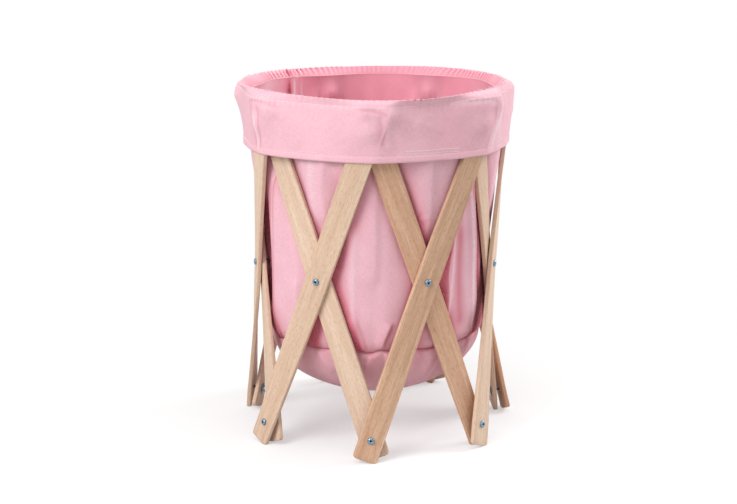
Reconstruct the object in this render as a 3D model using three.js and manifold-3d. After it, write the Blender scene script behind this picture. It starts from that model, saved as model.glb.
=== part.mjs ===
// A collapsible toy storage basket: a ring of scissored wooden slats that carries a canvas bag.
// Units are millimetres, +Z is up, and the origin is on the floor, on the basket's axis.
// The front upright, where two slats meet, faces -Y.

import * as THREE from 'three';
import { mergeVertices } from 'three/addons/utils/BufferGeometryUtils.js';
import Module from 'manifold-3d';

const wasm = await Module();
wasm.setup();

// The ring: pairs of slats cross on each face, and meet in an end pivot at each upright.
const FACES = 7;
const FRONT_AZIMUTH = -Math.PI / 2;
const PIVOT_RING_RADIUS = 188;
const PIVOT_HEIGHT = 431.8;

// Slats.
const SLAT_WIDTH = 35;
const SLAT_THICKNESS = 6;
const SLAT_BEYOND_PIVOT = 29;
const SLAT_CORNER_RADIUS = 6;
const SLAT_EASED_EDGE = 0.8;
const SLAT_END_TWIST = THREE.MathUtils.degToRad(24);
const TWIST_POWER = 1.4;
const BOW_POWER = 1.05;
const FOOT_FLAT_DEPTH = 1.4;
const MID_LAYER_GAP = 1;
const END_LAYER_GAP = 7.5;

// Fasteners.
const BOLT_DIAMETER = 5;
const BOLT_HEAD_DIAMETER = 9.5;
const BOLT_HEAD_HEIGHT = 2.7;
const BOLT_HEAD_RIM = 1;
const BOLT_PAST_NUT = 3.6;
const WASHER_DIAMETER = 16;
const WASHER_THICKNESS = 1;
const NUT_ACROSS_FLATS = 8;
const NUT_HEIGHT = 4;

// Clearances.
const SEAT_GAP = 0.3;
const BOLT_CLEARANCE = 0.3;
const LOOSE_HOLE_CLEARANCE = 1;
const FOLD_TILT = THREE.MathUtils.degToRad(2.5);
const FABRIC_GAP = 0.5;
const CUT_OVERRUN = 2;

// The bag.
const FABRIC_THICKNESS = 2.5;
const SEAM_INSET = 36;
const SEAM_HEIGHT = 143;
const DISH_DEPTH = 92;
const DISH_ROUNDNESS = 1.9;
const WALL_FOOT_SWELL = 7;
const WALL_FOOT_RISE = 20;
const WALL_MID_INSET = 7;
const WALL_HIGH_INSET = 13;
const WALL_TOP_FACE_INSET = 4;
const CUFF_HEIGHT = 86;
const CUFF_FACE_PROUD = 7;
const CUFF_THICKNESS = 1.5;
const CUFF_SHOULDER = 7;
const CUFF_LOBE_POWER = 3;
const RIM_ABOVE_SLATS = 7;
const ELASTIC_WIDTH = 6;
const ELASTIC_THICKNESS = 2;

// Facets.
const RING_STEPS = FACES * 6;
const ROUND_STEPS = 10;
const WASHER_STEPS = 12;
const SLAT_STEPS = 10;
const CORNER_STEPS = 2;
const WALL_STEPS = 10;
const DISH_STEPS = 6;
const DISH_SIDES = FACES * 4;
const TOUCH_STEP = 6;
const PRESS_PASSES = 8;

// Places that follow from the sizes above.
const half = Math.PI / FACES;
const halfHeight = PIVOT_HEIGHT / 2;
const midPivotRadius = PIVOT_RING_RADIUS * Math.cos(half);
const layers = {
  outer: {
    lean: 1,
    mid: midPivotRadius + (MID_LAYER_GAP + SLAT_THICKNESS) / 2,
    end: PIVOT_RING_RADIUS + (END_LAYER_GAP + SLAT_THICKNESS) / 2,
  },
  inner: {
    lean: -1,
    mid: midPivotRadius - (MID_LAYER_GAP + SLAT_THICKNESS) / 2,
    end: PIVOT_RING_RADIUS - (END_LAYER_GAP + SLAT_THICKNESS) / 2,
  },
};
const boltRadius = BOLT_DIAMETER / 2;
const headRadius = BOLT_HEAD_DIAMETER / 2;
const washerRadius = WASHER_DIAMETER / 2;
const refLean = Math.atan2(PIVOT_RING_RADIUS * Math.sin(half), halfHeight);
const slatDrop = slatReachBelowPivot();
const footPivotHeight = slatDrop - FOOT_FLAT_DEPTH;
const midHeight = footPivotHeight + halfHeight;
const topPivotHeight = footPivotHeight + PIVOT_HEIGHT;
const slatTop = topPivotHeight + slatDrop;

// How far a slat's lowest corner lies below its foot pivot.
function slatReachBelowPivot() {
  const across = SLAT_WIDTH / 2 - SLAT_CORNER_RADIUS;
  const along = SLAT_BEYOND_PIVOT - SLAT_CORNER_RADIUS;
  const downAcross = Math.sin(refLean) * Math.cos(SLAT_END_TWIST);
  const corner = SLAT_CORNER_RADIUS * Math.hypot(Math.cos(refLean), downAcross);
  const thick = (SLAT_THICKNESS / 2) * Math.sin(refLean) * Math.sin(SLAT_END_TWIST);
  return along * Math.cos(refLean) + across * downAcross + corner + thick;
}

// A twisted slat faces a little up at its foot and down at its top, and the end bolts follow it.
// A head or washer is square to its bolt, and the slat under it is slightly turned.
const boltTilt = Math.asin(Math.sin(refLean) * Math.sin(SLAT_END_TWIST));
const bowSlope = Math.abs(layers.outer.end * Math.cos(half) - layers.outer.mid) / halfHeight;
const seatTilt = Math.abs(half - SLAT_END_TWIST) + bowSlope;
const endHeadGap = SEAT_GAP + headRadius * Math.tan(seatTilt);
const endNutGap = SEAT_GAP + washerRadius * Math.tan(seatTilt + FOLD_TILT);
const midSeatGap = SEAT_GAP + washerRadius * Math.tan(2 * bowSlope);

const materials = {
  beech: { color: 0xd9b382, roughness: 0.6, metalness: 0 },
  zinc: { color: 0xb9bcc0, roughness: 0.35, metalness: 1 },
  canvas: { color: 0xe8a9b6, roughness: 0.95, metalness: 0 },
  elastic: { color: 0xf1ece6, roughness: 0.9, metalness: 0 },
};

const basket = new THREE.Group();

function addMesh(parent, name, geometry, finish) {
  const mesh = new THREE.Mesh(geometry, new THREE.MeshStandardMaterial(materials[finish]));
  mesh.name = name;
  parent.add(mesh);
  return mesh;
}

function azimuthGroup(azimuth) {
  const group = new THREE.Group();
  group.rotation.z = azimuth;
  basket.add(group);
  return group;
}

// A geometry from points and triangles.
function fromTriangles(points, triangles) {
  const geometry = new THREE.BufferGeometry();
  geometry.setAttribute('position', new THREE.Float32BufferAttribute(points.flat(), 3));
  geometry.setIndex(triangles.flat());
  return geometry;
}

function toSolid(geometry) {
  const bare = geometry.clone();
  bare.deleteAttribute('normal');
  bare.deleteAttribute('uv');
  const merged = mergeVertices(bare);
  const vertProperties = new Float32Array(merged.attributes.position.array);
  const triVerts = new Uint32Array(merged.index.array);
  return new wasm.Manifold(new wasm.Mesh({ numProp: 3, vertProperties, triVerts }));
}

function toGeometry(solid) {
  const mesh = solid.getMesh();
  const geometry = new THREE.BufferGeometry();
  geometry.setAttribute('position', new THREE.BufferAttribute(mesh.vertProperties, 3));
  geometry.setIndex(new THREE.BufferAttribute(mesh.triVerts, 1));
  return geometry;
}

// The radius of a polygon's corners whose flats lie at the radius given.
function cornerRadius(flatRadius, sides) {
  return flatRadius / Math.cos(Math.PI / sides);
}

// Joins rings of points into one closed body: the ring is the section, the list runs along the body.
function loft(sections, closedLoop) {
  const count = sections[0].length;
  const points = sections.flat();
  const triangles = [];
  const last = closedLoop ? sections.length : sections.length - 1;
  for (let i = 0; i < last; i += 1) {
    const here = i * count;
    const next = ((i + 1) % sections.length) * count;
    for (let j = 0; j < count; j += 1) {
      const k = (j + 1) % count;
      triangles.push([here + j, here + k, next + k]);
      triangles.push([here + j, next + k, next + j]);
    }
  }
  if (!closedLoop) {
    const end = (sections.length - 1) * count;
    for (let j = 1; j < count - 1; j += 1) {
      triangles.push([0, j + 1, j]);
      triangles.push([end, end + j, end + j + 1]);
    }
  }
  return fromTriangles(points, triangles);
}

// A slat's centre line and turn at a place along it, counted from its mid bolt.
// In a face's own frame +X points outwards, +Y along the face and +Z up.
function slatStation(layer, along) {
  const endAcross = layer.end * Math.sin(half);
  const length = Math.hypot(endAcross, halfHeight);
  const share = Math.abs(along) / length;
  const direction = new THREE.Vector3(0, layer.lean * endAcross, halfHeight).normalize();
  const bow = (layer.end * Math.cos(half) - layer.mid) * share ** BOW_POWER;
  const turn = layer.lean * Math.sign(along) * SLAT_END_TWIST * Math.min(share, 1) ** TWIST_POWER;
  const outward = new THREE.Vector3(1, 0, 0).applyAxisAngle(direction, turn);
  const across = new THREE.Vector3().crossVectors(outward, direction);
  const centre = direction.clone().multiplyScalar(along);
  centre.x += layer.mid + bow;
  return { centre, outward, across, length };
}

// Half of a slat's width, with its rounded end corners.
function slatHalfWidth(along, reach) {
  const into = Math.abs(along) - (reach - SLAT_CORNER_RADIUS);
  const flat = SLAT_WIDTH / 2 - SLAT_CORNER_RADIUS;
  if (into <= 0) {
    return SLAT_WIDTH / 2;
  }
  return flat + Math.sqrt(Math.max(SLAT_CORNER_RADIUS ** 2 - into ** 2, 0));
}

function slatPlaces(length) {
  const reach = length + SLAT_BEYOND_PIVOT;
  const places = [];
  for (let i = CORNER_STEPS; i >= 0; i -= 1) {
    const angle = (i / CORNER_STEPS) * (Math.PI / 2);
    places.push(-(reach - SLAT_CORNER_RADIUS + SLAT_CORNER_RADIUS * Math.sin(angle)));
  }
  for (let i = 0; i <= SLAT_STEPS; i += 1) {
    places.push(length * ((2 * i) / SLAT_STEPS - 1));
  }
  for (let i = 0; i <= CORNER_STEPS; i += 1) {
    const angle = (i / CORNER_STEPS) * (Math.PI / 2);
    places.push(reach - SLAT_CORNER_RADIUS + SLAT_CORNER_RADIUS * Math.sin(angle));
  }
  return places;
}

// A slat's section, going round it: a flat bar with eased edges.
function slatSection(layer, along, reach) {
  const { centre, outward, across } = slatStation(layer, along);
  const w = slatHalfWidth(along, reach);
  const t = SLAT_THICKNESS / 2;
  const e = SLAT_EASED_EDGE;
  const outline = [[w - e, t], [-w + e, t], [-w, t - e], [-w, -t + e]];
  const round = [...outline, ...outline.map(([a, b]) => [-a, -b])];
  return round.map(([a, b]) => {
    const point = centre.clone().addScaledVector(across, a).addScaledVector(outward, b);
    return [point.x, point.y, point.z];
  });
}

// A drill through both layers at a pivot, along the pivot's bolt.
function drill(flatRadius, tilt, distance, azimuth, height) {
  const radius = cornerRadius(flatRadius, ROUND_STEPS);
  const rod = new THREE.CylinderGeometry(radius, radius, SLAT_WIDTH * 2, ROUND_STEPS);
  rod.rotateZ(-Math.PI / 2);
  rod.rotateY(tilt);
  rod.translate(distance, 0, height);
  rod.rotateZ(azimuth);
  return toSolid(rod);
}

// A whole slat, placed in its face's frame with heights counted from the mid bolt.
function slatGeometry(layer, endHoleRadius) {
  const { length } = slatStation(layer, 0);
  const reach = length + SLAT_BEYOND_PIVOT;
  const sections = slatPlaces(length).map((along) => slatSection(layer, along, reach));
  let slat = toSolid(loft(sections, false));
  const side = layer.lean * half;
  slat = slat.subtract(drill(boltRadius + BOLT_CLEARANCE, 0, midPivotRadius, 0, 0));
  slat = slat.subtract(drill(endHoleRadius, boltTilt, PIVOT_RING_RADIUS, side, halfHeight));
  slat = slat.subtract(drill(endHoleRadius, -boltTilt, PIVOT_RING_RADIUS, -side, -halfHeight));
  const ground = new THREE.BoxGeometry(SLAT_WIDTH * 2, PIVOT_RING_RADIUS * 2, SLAT_WIDTH);
  ground.translate(layer.mid, 0, -midHeight - SLAT_WIDTH / 2);
  return toGeometry(slat.subtract(toSolid(ground)));
}

// A button-head bolt along +X, with the seat of its head and its tip where given.
function boltGeometry(headSeat, tip) {
  const top = headSeat + BOLT_HEAD_HEIGHT;
  const profile = [
    new THREE.Vector2(0, tip),
    new THREE.Vector2(boltRadius, tip),
    new THREE.Vector2(boltRadius, headSeat),
    new THREE.Vector2(headRadius, headSeat),
    new THREE.Vector2(headRadius, headSeat + BOLT_HEAD_RIM),
    new THREE.Vector2(headRadius / 2, top),
    new THREE.Vector2(0, top),
  ];
  const bolt = new THREE.LatheGeometry(profile, ROUND_STEPS);
  bolt.rotateZ(-Math.PI / 2);
  return toGeometry(toSolid(bolt));
}

// A hex nut with its washer along +X, whose washer's outer side lies where given.
function nutGeometry(washerSeat) {
  const washer = new THREE.CylinderGeometry(washerRadius, washerRadius, WASHER_THICKNESS, WASHER_STEPS);
  washer.translate(0, washerSeat - WASHER_THICKNESS / 2, 0);
  const nutRadius = cornerRadius(NUT_ACROSS_FLATS / 2, 6);
  const nutEnd = washerSeat - WASHER_THICKNESS - NUT_HEIGHT;
  const nutLength = NUT_HEIGHT + WASHER_THICKNESS / 2;
  const nut = new THREE.CylinderGeometry(nutRadius, nutRadius, nutLength, 6);
  nut.translate(0, nutEnd + nutLength / 2, 0);
  const bore = cornerRadius(boltRadius + BOLT_CLEARANCE, ROUND_STEPS);
  const boreLength = WASHER_THICKNESS + NUT_HEIGHT + 2 * CUT_OVERRUN;
  const hole = new THREE.CylinderGeometry(bore, bore, boreLength, ROUND_STEPS);
  hole.translate(0, nutEnd - CUT_OVERRUN + boreLength / 2, 0);
  const solid = toSolid(washer).add(toSolid(nut)).subtract(toSolid(hole));
  const geometry = toGeometry(solid);
  geometry.rotateZ(-Math.PI / 2);
  return geometry;
}

// Where a pivot's fasteners sit along its bolt, counted from between the two layers.
function pivotStack(layerGap, headGap, nutGap) {
  const washer = -(layerGap / 2 + SLAT_THICKNESS + nutGap);
  const tip = washer - WASHER_THICKNESS - NUT_HEIGHT - BOLT_PAST_NUT;
  return { head: layerGap / 2 + SLAT_THICKNESS + headGap, washer, tip };
}

// Adds a bolt and its nut to an azimuth group, at a distance and height and with the bolt tilted.
function addFastener(group, stack, distance, height, tilt, boltName, nutName) {
  const pivot = new THREE.Group();
  pivot.position.set(distance, 0, height);
  pivot.rotation.y = tilt;
  group.add(pivot);
  addMesh(pivot, boltName, boltGeometry(stack.head, stack.tip), 'zinc');
  addMesh(pivot, nutName, nutGeometry(stack.washer), 'zinc');
}

const midStack = pivotStack(MID_LAYER_GAP, midSeatGap, midSeatGap);
const endStack = pivotStack(END_LAYER_GAP, endHeadGap, endNutGap);

function addRing() {
  for (let i = 0; i < FACES; i += 1) {
    const label = i + 1;
    const upright = azimuthGroup(FRONT_AZIMUTH + 2 * half * i);
    const atFoot = [endStack, PIVOT_RING_RADIUS, footPivotHeight, -boltTilt];
    const atTop = [endStack, PIVOT_RING_RADIUS, topPivotHeight, boltTilt];
    addFastener(upright, ...atFoot, `foot_bolt_${label}`, `foot_nut_${label}`);
    addFastener(upright, ...atTop, `top_bolt_${label}`, `top_nut_${label}`);
    const face = azimuthGroup(FRONT_AZIMUTH + 2 * half * i + half);
    const atMid = [midStack, midPivotRadius, midHeight, 0];
    addFastener(face, ...atMid, `mid_bolt_${label}`, `mid_nut_${label}`);
    const outer = slatGeometry(layers.outer, boltRadius + BOLT_CLEARANCE);
    const inner = slatGeometry(layers.inner, boltRadius + LOOSE_HOLE_CLEARANCE);
    addMesh(face, `outer_slat_${label}`, outer, 'beech').position.z = midHeight;
    addMesh(face, `inner_slat_${label}`, inner, 'beech').position.z = midHeight;
  }
}

// The bag hangs inside the ring and swells until the slats and nuts hold it.
const rimHeight = slatTop + RIM_ABOVE_SLATS;
const innerSlatFace = layers.inner.end - SLAT_THICKNESS / 2;
const wallTop = rimHeight - SEAT_GAP;
const wallTopUpright = innerSlatFace - ELASTIC_THICKNESS - 2 * FABRIC_GAP;
const wallTopFace = PIVOT_RING_RADIUS - WALL_TOP_FACE_INSET;
const seamRadius = PIVOT_RING_RADIUS - SEAM_INSET;
const cuffFace = PIVOT_RING_RADIUS + CUFF_FACE_PROUD;

// How far the wall would swell with nothing round it, up the uprights and up the face centres.
const swell = [
  new THREE.Vector2(seamRadius, SEAM_HEIGHT),
  new THREE.Vector2(seamRadius + WALL_FOOT_SWELL, SEAM_HEIGHT + WALL_FOOT_RISE),
  new THREE.Vector2(midPivotRadius - WALL_MID_INSET, midHeight),
  new THREE.Vector2(PIVOT_RING_RADIUS - WALL_HIGH_INSET, (midHeight + topPivotHeight) / 2),
];
const uprightCurve = new THREE.SplineCurve([
  ...swell,
  new THREE.Vector2(wallTopUpright, topPivotHeight),
  new THREE.Vector2(wallTopUpright, wallTop),
]);
const faceCurve = new THREE.SplineCurve([
  ...swell,
  new THREE.Vector2(wallTopFace, topPivotHeight),
  new THREE.Vector2(wallTopFace, wallTop),
]);

// The share of the way from an upright to a face centre, as a wave round the ring.
function lobeShare(azimuth) {
  return (1 - Math.cos(FACES * (azimuth - FRONT_AZIMUTH))) / 2;
}

// Joins sections round the axis into a ring. A section's rows are [radius, height].
function ringOf(sectionAt) {
  const sections = [];
  for (let i = 0; i < RING_STEPS; i += 1) {
    const azimuth = FRONT_AZIMUTH - (2 * Math.PI * i) / RING_STEPS;
    const place = ([radius, z]) => [radius * Math.cos(azimuth), radius * Math.sin(azimuth), z];
    sections.push(sectionAt(azimuth, i).map(place));
  }
  return loft(sections, true);
}

// A radius between those at the uprights and the face centres.
// A power keeps it near the upright's for longer.
function lobed(azimuth, upright, face, power = 1) {
  return THREE.MathUtils.lerp(upright, face, lobeShare(azimuth) ** power);
}

// Sweeps a section whose rows are [radius at uprights, radius at faces, height, power].
function lobedRing(section) {
  return ringOf((azimuth) => section.map(([upright, face, height, power]) => [
    lobed(azimuth, upright, face, power),
    height,
  ]));
}

// The wall's free outer radii at the uprights and face centres, row by row from the seam to the rim.
const wallRows = [];
for (let i = 0; i <= WALL_STEPS; i += 1) {
  const upright = uprightCurve.getPoint(i / WALL_STEPS);
  const face = faceCurve.getPoint(i / WALL_STEPS);
  wallRows.push([upright.x, face.x, upright.y]);
}

// The wall's outer radii at a height.
function wallRadiiAt(height) {
  const above = wallRows.findIndex((row) => row[2] >= height);
  const low = wallRows[above - 1];
  const high = wallRows[above];
  const share = (height - low[2]) / (high[2] - low[2]);
  return [0, 1].map((k) => THREE.MathUtils.lerp(low[k], high[k], share));
}

// Points all over the slats and fasteners, for the wall to lie inside.
function touchPoints() {
  const points = [];
  basket.updateMatrixWorld(true);
  basket.traverse((mesh) => {
    if (!mesh.isMesh) {
      return;
    }
    const { index, attributes } = mesh.geometry;
    const corner = (k) => new THREE.Vector3()
      .fromBufferAttribute(attributes.position, index.getX(k))
      .applyMatrix4(mesh.matrixWorld);
    for (let k = 0; k < index.count; k += 3) {
      const [a, b, c] = [corner(k), corner(k + 1), corner(k + 2)];
      const side = Math.max(a.distanceTo(b), b.distanceTo(c), c.distanceTo(a));
      const steps = Math.ceil(side / TOUCH_STEP);
      for (let p = 0; p <= steps; p += 1) {
        for (let q = 0; q <= steps - p; q += 1) {
          const point = a.clone().lerp(b, p / steps);
          points.push(point.addScaledVector(c, q / steps).addScaledVector(a, -q / steps));
        }
      }
    }
  });
  return points;
}

// The corners of the wall's facet that a point lies over, as [column, row, weight].
function facetAt(point) {
  const turn = (FRONT_AZIMUTH - Math.atan2(point.y, point.x)) / (2 * Math.PI);
  const column = (turn - Math.floor(turn)) * RING_STEPS;
  const row = wallRows.findIndex((each) => each[2] >= point.z) - 1;
  if (row < 0) {
    return [];
  }
  const i = Math.floor(column);
  const next = (i + 1) % RING_STEPS;
  const round = column - i;
  const up = (point.z - wallRows[row][2]) / (wallRows[row + 1][2] - wallRows[row][2]);
  const third = up > round ? [i % RING_STEPS, row + 1, up - round] : [next, row, round - up];
  return [[i % RING_STEPS, row, 1 - Math.max(up, round)], [next, row + 1, Math.min(up, round)], third];
}

// The wall's outer radii by column and row, pressed back from the free ones by all that it touches.
// The press grows pass by pass, so no point takes more than its share.
function pressedRadii() {
  const radii = [];
  for (let i = 0; i < RING_STEPS; i += 1) {
    const azimuth = FRONT_AZIMUTH - (2 * Math.PI * i) / RING_STEPS;
    radii.push(wallRows.map(([upright, face]) => lobed(azimuth, upright, face)));
  }
  const touches = touchPoints().map((point) => ({
    limit: Math.hypot(point.x, point.y) - FABRIC_GAP,
    facet: facetAt(point),
  })).filter(({ facet }) => facet.length > 0);
  for (let pass = 1; pass <= PRESS_PASSES; pass += 1) {
    for (const { limit, facet } of touches) {
      const radius = facet.reduce((sum, [i, j, weight]) => sum + weight * radii[i][j], 0);
      if (radius > limit) {
        const spread = facet.reduce((sum, [, , weight]) => sum + weight ** 2, 0);
        const press = ((radius - limit) / spread) * (pass / PRESS_PASSES);
        facet.forEach(([i, j, weight]) => { radii[i][j] -= press * weight; });
      }
    }
  }
  return radii;
}

function wallGeometry() {
  const radii = pressedRadii();
  const heights = wallRows.map((row) => row[2]);
  return ringOf((azimuth, i) => {
    const outside = heights.map((height, j) => [radii[i][j], height]);
    const inside = outside.map(([radius, height]) => [radius - FABRIC_THICKNESS, height]);
    return [...outside, ...inside.reverse()];
  });
}

// The bottom is a dish, sewn to the wall all round.
function bottomGeometry() {
  const top = SEAM_HEIGHT - SEAT_GAP;
  const dish = (radius, depth) => {
    const points = [];
    for (let i = 0; i <= DISH_STEPS; i += 1) {
      const angle = (i / DISH_STEPS) * (Math.PI / 2);
      const out = Math.sin(angle) ** (2 / DISH_ROUNDNESS);
      const down = Math.cos(angle) ** (2 / DISH_ROUNDNESS);
      points.push(new THREE.Vector2(radius * out, top - depth * down));
    }
    return points;
  };
  const under = dish(seamRadius, DISH_DEPTH);
  const over = dish(seamRadius - FABRIC_THICKNESS, DISH_DEPTH - FABRIC_THICKNESS).reverse();
  const bottom = new THREE.LatheGeometry([...under, ...over], DISH_SIDES);
  bottom.rotateX(Math.PI / 2);
  return toGeometry(toSolid(bottom));
}

// The furthest that an outer slat reaches from the axis, at any of the places along it.
function slatReach(places) {
  const { length } = slatStation(layers.outer, 0);
  const end = length + SLAT_BEYOND_PIVOT;
  const corners = places.flatMap((along) => slatSection(layers.outer, along, end));
  return Math.max(...corners.map(([x, y]) => Math.hypot(x, y)));
}

// The cuff folds over the slat tops and hangs outside them.
function cuffGeometry() {
  const headEnd = PIVOT_RING_RADIUS + endStack.head + BOLT_HEAD_HEIGHT;
  const headReach = cornerRadius(headEnd + FABRIC_GAP, RING_STEPS);
  const { length } = slatStation(layers.outer, 0);
  const ends = slatPlaces(length).filter((along) => along >= length);
  const topReach = cornerRadius(slatReach(ends) + FABRIC_GAP, RING_STEPS);
  const top = rimHeight + CUFF_THICKNESS;
  const low = top - CUFF_HEIGHT;
  const edgePlace = (low + SLAT_WIDTH / 2 - midHeight) / Math.cos(refLean);
  const edgeReach = cornerRadius(slatReach([edgePlace]) + FABRIC_GAP, RING_STEPS);
  const faceIn = cuffFace - CUFF_THICKNESS;
  const headTop = topPivotHeight + headRadius;
  const headLow = topPivotHeight - 2 * headRadius;
  const outside = [
    [edgeReach, faceIn, low],
    [edgeReach + CUFF_THICKNESS, cuffFace, low],
    [headReach + CUFF_THICKNESS, cuffFace, headLow],
    [topReach + CUFF_THICKNESS, cuffFace, headTop],
    [topReach + CUFF_THICKNESS, cuffFace, rimHeight],
    [topReach + CUFF_THICKNESS - CUFF_SHOULDER, cuffFace - CUFF_SHOULDER / 2, top],
  ];
  const overRim = [
    [wallTopUpright, wallTopFace, top],
    [wallTopUpright - FABRIC_THICKNESS, wallTopFace - FABRIC_THICKNESS, rimHeight],
  ];
  const inside = [
    [topReach, faceIn, rimHeight],
    [topReach, faceIn, headTop],
    [headReach, faceIn, headLow],
  ];
  const flatter = (row) => [...row, CUFF_LOBE_POWER];
  return lobedRing([...outside.map(flatter), ...overRim, ...inside.map(flatter)]);
}

// The elastic that gathers the rim lies round the top of the wall.
function elasticGeometry() {
  const high = wallTop - FABRIC_THICKNESS;
  const low = high - ELASTIC_WIDTH;
  const wallLow = wallRadiiAt(low);
  const wallHigh = wallRadiiAt(high);
  const upright = Math.max(wallLow[0], wallHigh[0]) + FABRIC_GAP;
  const face = Math.max(wallLow[1], wallHigh[1]) + FABRIC_GAP;
  return lobedRing([
    [upright, face, low],
    [upright + ELASTIC_THICKNESS, face + ELASTIC_THICKNESS, low],
    [upright + ELASTIC_THICKNESS, face + ELASTIC_THICKNESS, high],
    [upright, face, high],
  ]);
}

function addBag() {
  addMesh(basket, 'bag_wall', wallGeometry(), 'canvas');
  addMesh(basket, 'bag_bottom', bottomGeometry(), 'canvas');
  addMesh(basket, 'bag_cuff', cuffGeometry(), 'canvas');
  addMesh(basket, 'rim_elastic', elasticGeometry(), 'elastic');
}

addRing();
addBag();

export default basket;
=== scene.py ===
"""The looks of a collapsible toy basket: beech slats, zinc bolts and a pink canvas bag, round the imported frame.

Metres, +Z up. The front upright, where two slats share their bolts, faces -Y.
"""

import math
from types import SimpleNamespace

import bmesh
import bpy
import numpy as np
from mathutils import Matrix, Vector


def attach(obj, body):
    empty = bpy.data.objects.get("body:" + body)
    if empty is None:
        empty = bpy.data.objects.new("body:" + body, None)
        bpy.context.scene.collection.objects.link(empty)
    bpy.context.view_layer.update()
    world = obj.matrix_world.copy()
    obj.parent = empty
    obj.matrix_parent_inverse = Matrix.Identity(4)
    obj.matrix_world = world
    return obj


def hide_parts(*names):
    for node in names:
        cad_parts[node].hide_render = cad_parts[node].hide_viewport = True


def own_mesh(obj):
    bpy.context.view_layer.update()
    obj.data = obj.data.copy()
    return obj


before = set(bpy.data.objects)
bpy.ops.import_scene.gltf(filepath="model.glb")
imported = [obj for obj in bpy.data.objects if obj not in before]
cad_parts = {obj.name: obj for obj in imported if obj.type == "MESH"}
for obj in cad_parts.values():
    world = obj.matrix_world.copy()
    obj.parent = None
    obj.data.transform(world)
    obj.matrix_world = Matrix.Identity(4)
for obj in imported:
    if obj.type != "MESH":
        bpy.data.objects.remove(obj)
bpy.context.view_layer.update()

MILLI = 1000
TURN = 2 * math.pi

# The ring, as in the CAD source.
FACES = 7
HALF = math.pi / FACES
FRONT = -math.pi / 2
PIVOT_RADIUS = 0.188
MID_RADIUS = PIVOT_RADIUS * math.cos(HALF)
HALF_HEIGHT = 0.2159
FOOT_Z = 0.0302
MID_Z = FOOT_Z + HALF_HEIGHT
TOP_Z = MID_Z + HALF_HEIGHT
LEAN = math.atan2(PIVOT_RADIUS * math.sin(HALF), HALF_HEIGHT)
SLAT_WIDTH = 0.035
SLAT_THICK = 0.006
SLAT_BEYOND = 0.029
SLAT_CORNER = 0.006
SLAT_EASE = 0.0011
END_TWIST = math.radians(24)
TWIST_POWER = 1.4
BOW_POWER = 1.05
MID_GAP = 0.001
END_GAP = 0.0075
BOLT_TILT = math.asin(math.sin(LEAN) * math.sin(END_TWIST))
# Each layer's lean, and its distance from the axis at its mid bolt and at its end bolts.
LAYERS = {
    "outer": (1, MID_RADIUS + (MID_GAP + SLAT_THICK) / 2, PIVOT_RADIUS + (END_GAP + SLAT_THICK) / 2),
    "inner": (-1, MID_RADIUS - (MID_GAP + SLAT_THICK) / 2, PIVOT_RADIUS - (END_GAP + SLAT_THICK) / 2),
}
SLAT_TONES = {
    "outer": ("tan", "pale", "warm", "light", "warm", "pale", "light"),
    "inner": ("warm", "light", "tan", "warm", "pale", "pale", "pale"),
}
SLAT_SHARP = math.radians(32)

# Bolts and nuts. The bore is the washers' and nuts' and that of most holes.
LATHE_SIDES = 36
SHANK_RADIUS = 0.0025
THREAD_PITCH = 0.0008
HEAD_RADIUS = 0.00475
HEAD_HEIGHT = 0.0027
SOCKET_DEPTH = 0.0022
BORE = 0.0028
LOOSE_BORE = 0.0035
WASHER_RADIUS = 0.008
WASHER_THICK = 0.001
NUT_REACH = 0.004
NUT_HEIGHT = 0.004
BOLT_BEYOND_WASHER = 0.0086
ZINC_SHARP = math.radians(38)

# The bag's strips. Each squash is an anchor from the axis and what it keeps.
STRIPS = 28
CUFF_COLS = 36
WALL_COLS = 32
WALL_SQUASH = (0.0135, 0.1)
BOTTOM_SQUASH = (0.0, 0.18)
CUFF_SQUASH = (-11.5, 0.99)
CLOTH = 0.0012
FLAT_RADIUS = 0.185
STITCH_LENGTH = 0.0017
STITCH_RADIUS = 0.00038
SEAM_Z = 0.143
SEAM_RADIUS = 0.152
WALL_TOP_Z = 0.4905
WALL_TOP_RADIUS = 0.1836
WALL_OFF_SLATS = 0.0028
WALL_OFF_NUTS = 0.0006
WALL_SINKS = 0.0022
CASING_Z = 0.4912
CASING_HEIGHT = 0.0113
CUFF_HANG = 0.0750
CUFF_RADIUS = 0.1895
CUFF_LEAST_RADIUS = 0.17
LOOSE = 0.0004
DISH_DEPTH = 0.092
DISH_POWER = 2 / 1.9

# The radii at which the widths of folds are measured.
WALL_SCALE = 0.165
LINING_SCALE = 0.178
DISH_SCALE = 0.15
CUFF_SCALE = 0.197

# A tone is a fold's painted shade, from its palest crest, a painted highlight, to its deepest valley.
PALEST = -0.95
DEEPEST = 1.6

# The rim's ridge in turn at each upright and at the face after it: its radius, its height, and how far the cuff's own
# top rises there above its plain height.
RIM_RADIUS = (0.197, 0.195, 0.188, 0.183, 0.186, 0.191, 0.196, 0.190, 0.187, 0.194, 0.191, 0.193, 0.192, 0.189)
RIM_HEIGHT = (0.5003, 0.5009, 0.5055, 0.5052, 0.504, 0.5048, 0.5052, 0.5046, 0.5044, 0.5047, 0.5042, 0.504, 0.5048,
              0.5018)
CUFF_RISE = (0, 0, 0.0052, 0.0035, 0.002, 0.002, 0.002, 0.002, 0.002, 0.002, 0.002, 0.002, 0.0025, 0.0005)


# ---- materials

BLACK, WHITE = (0, 0, 0, 1), (1, 1, 1, 1)


def linear(red, green, blue):
    return tuple(((c / 255 + 0.055) / 1.055) ** 2.4 if c > 10 else c / 3294 for c in (red, green, blue)) + (1.0,)


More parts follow.
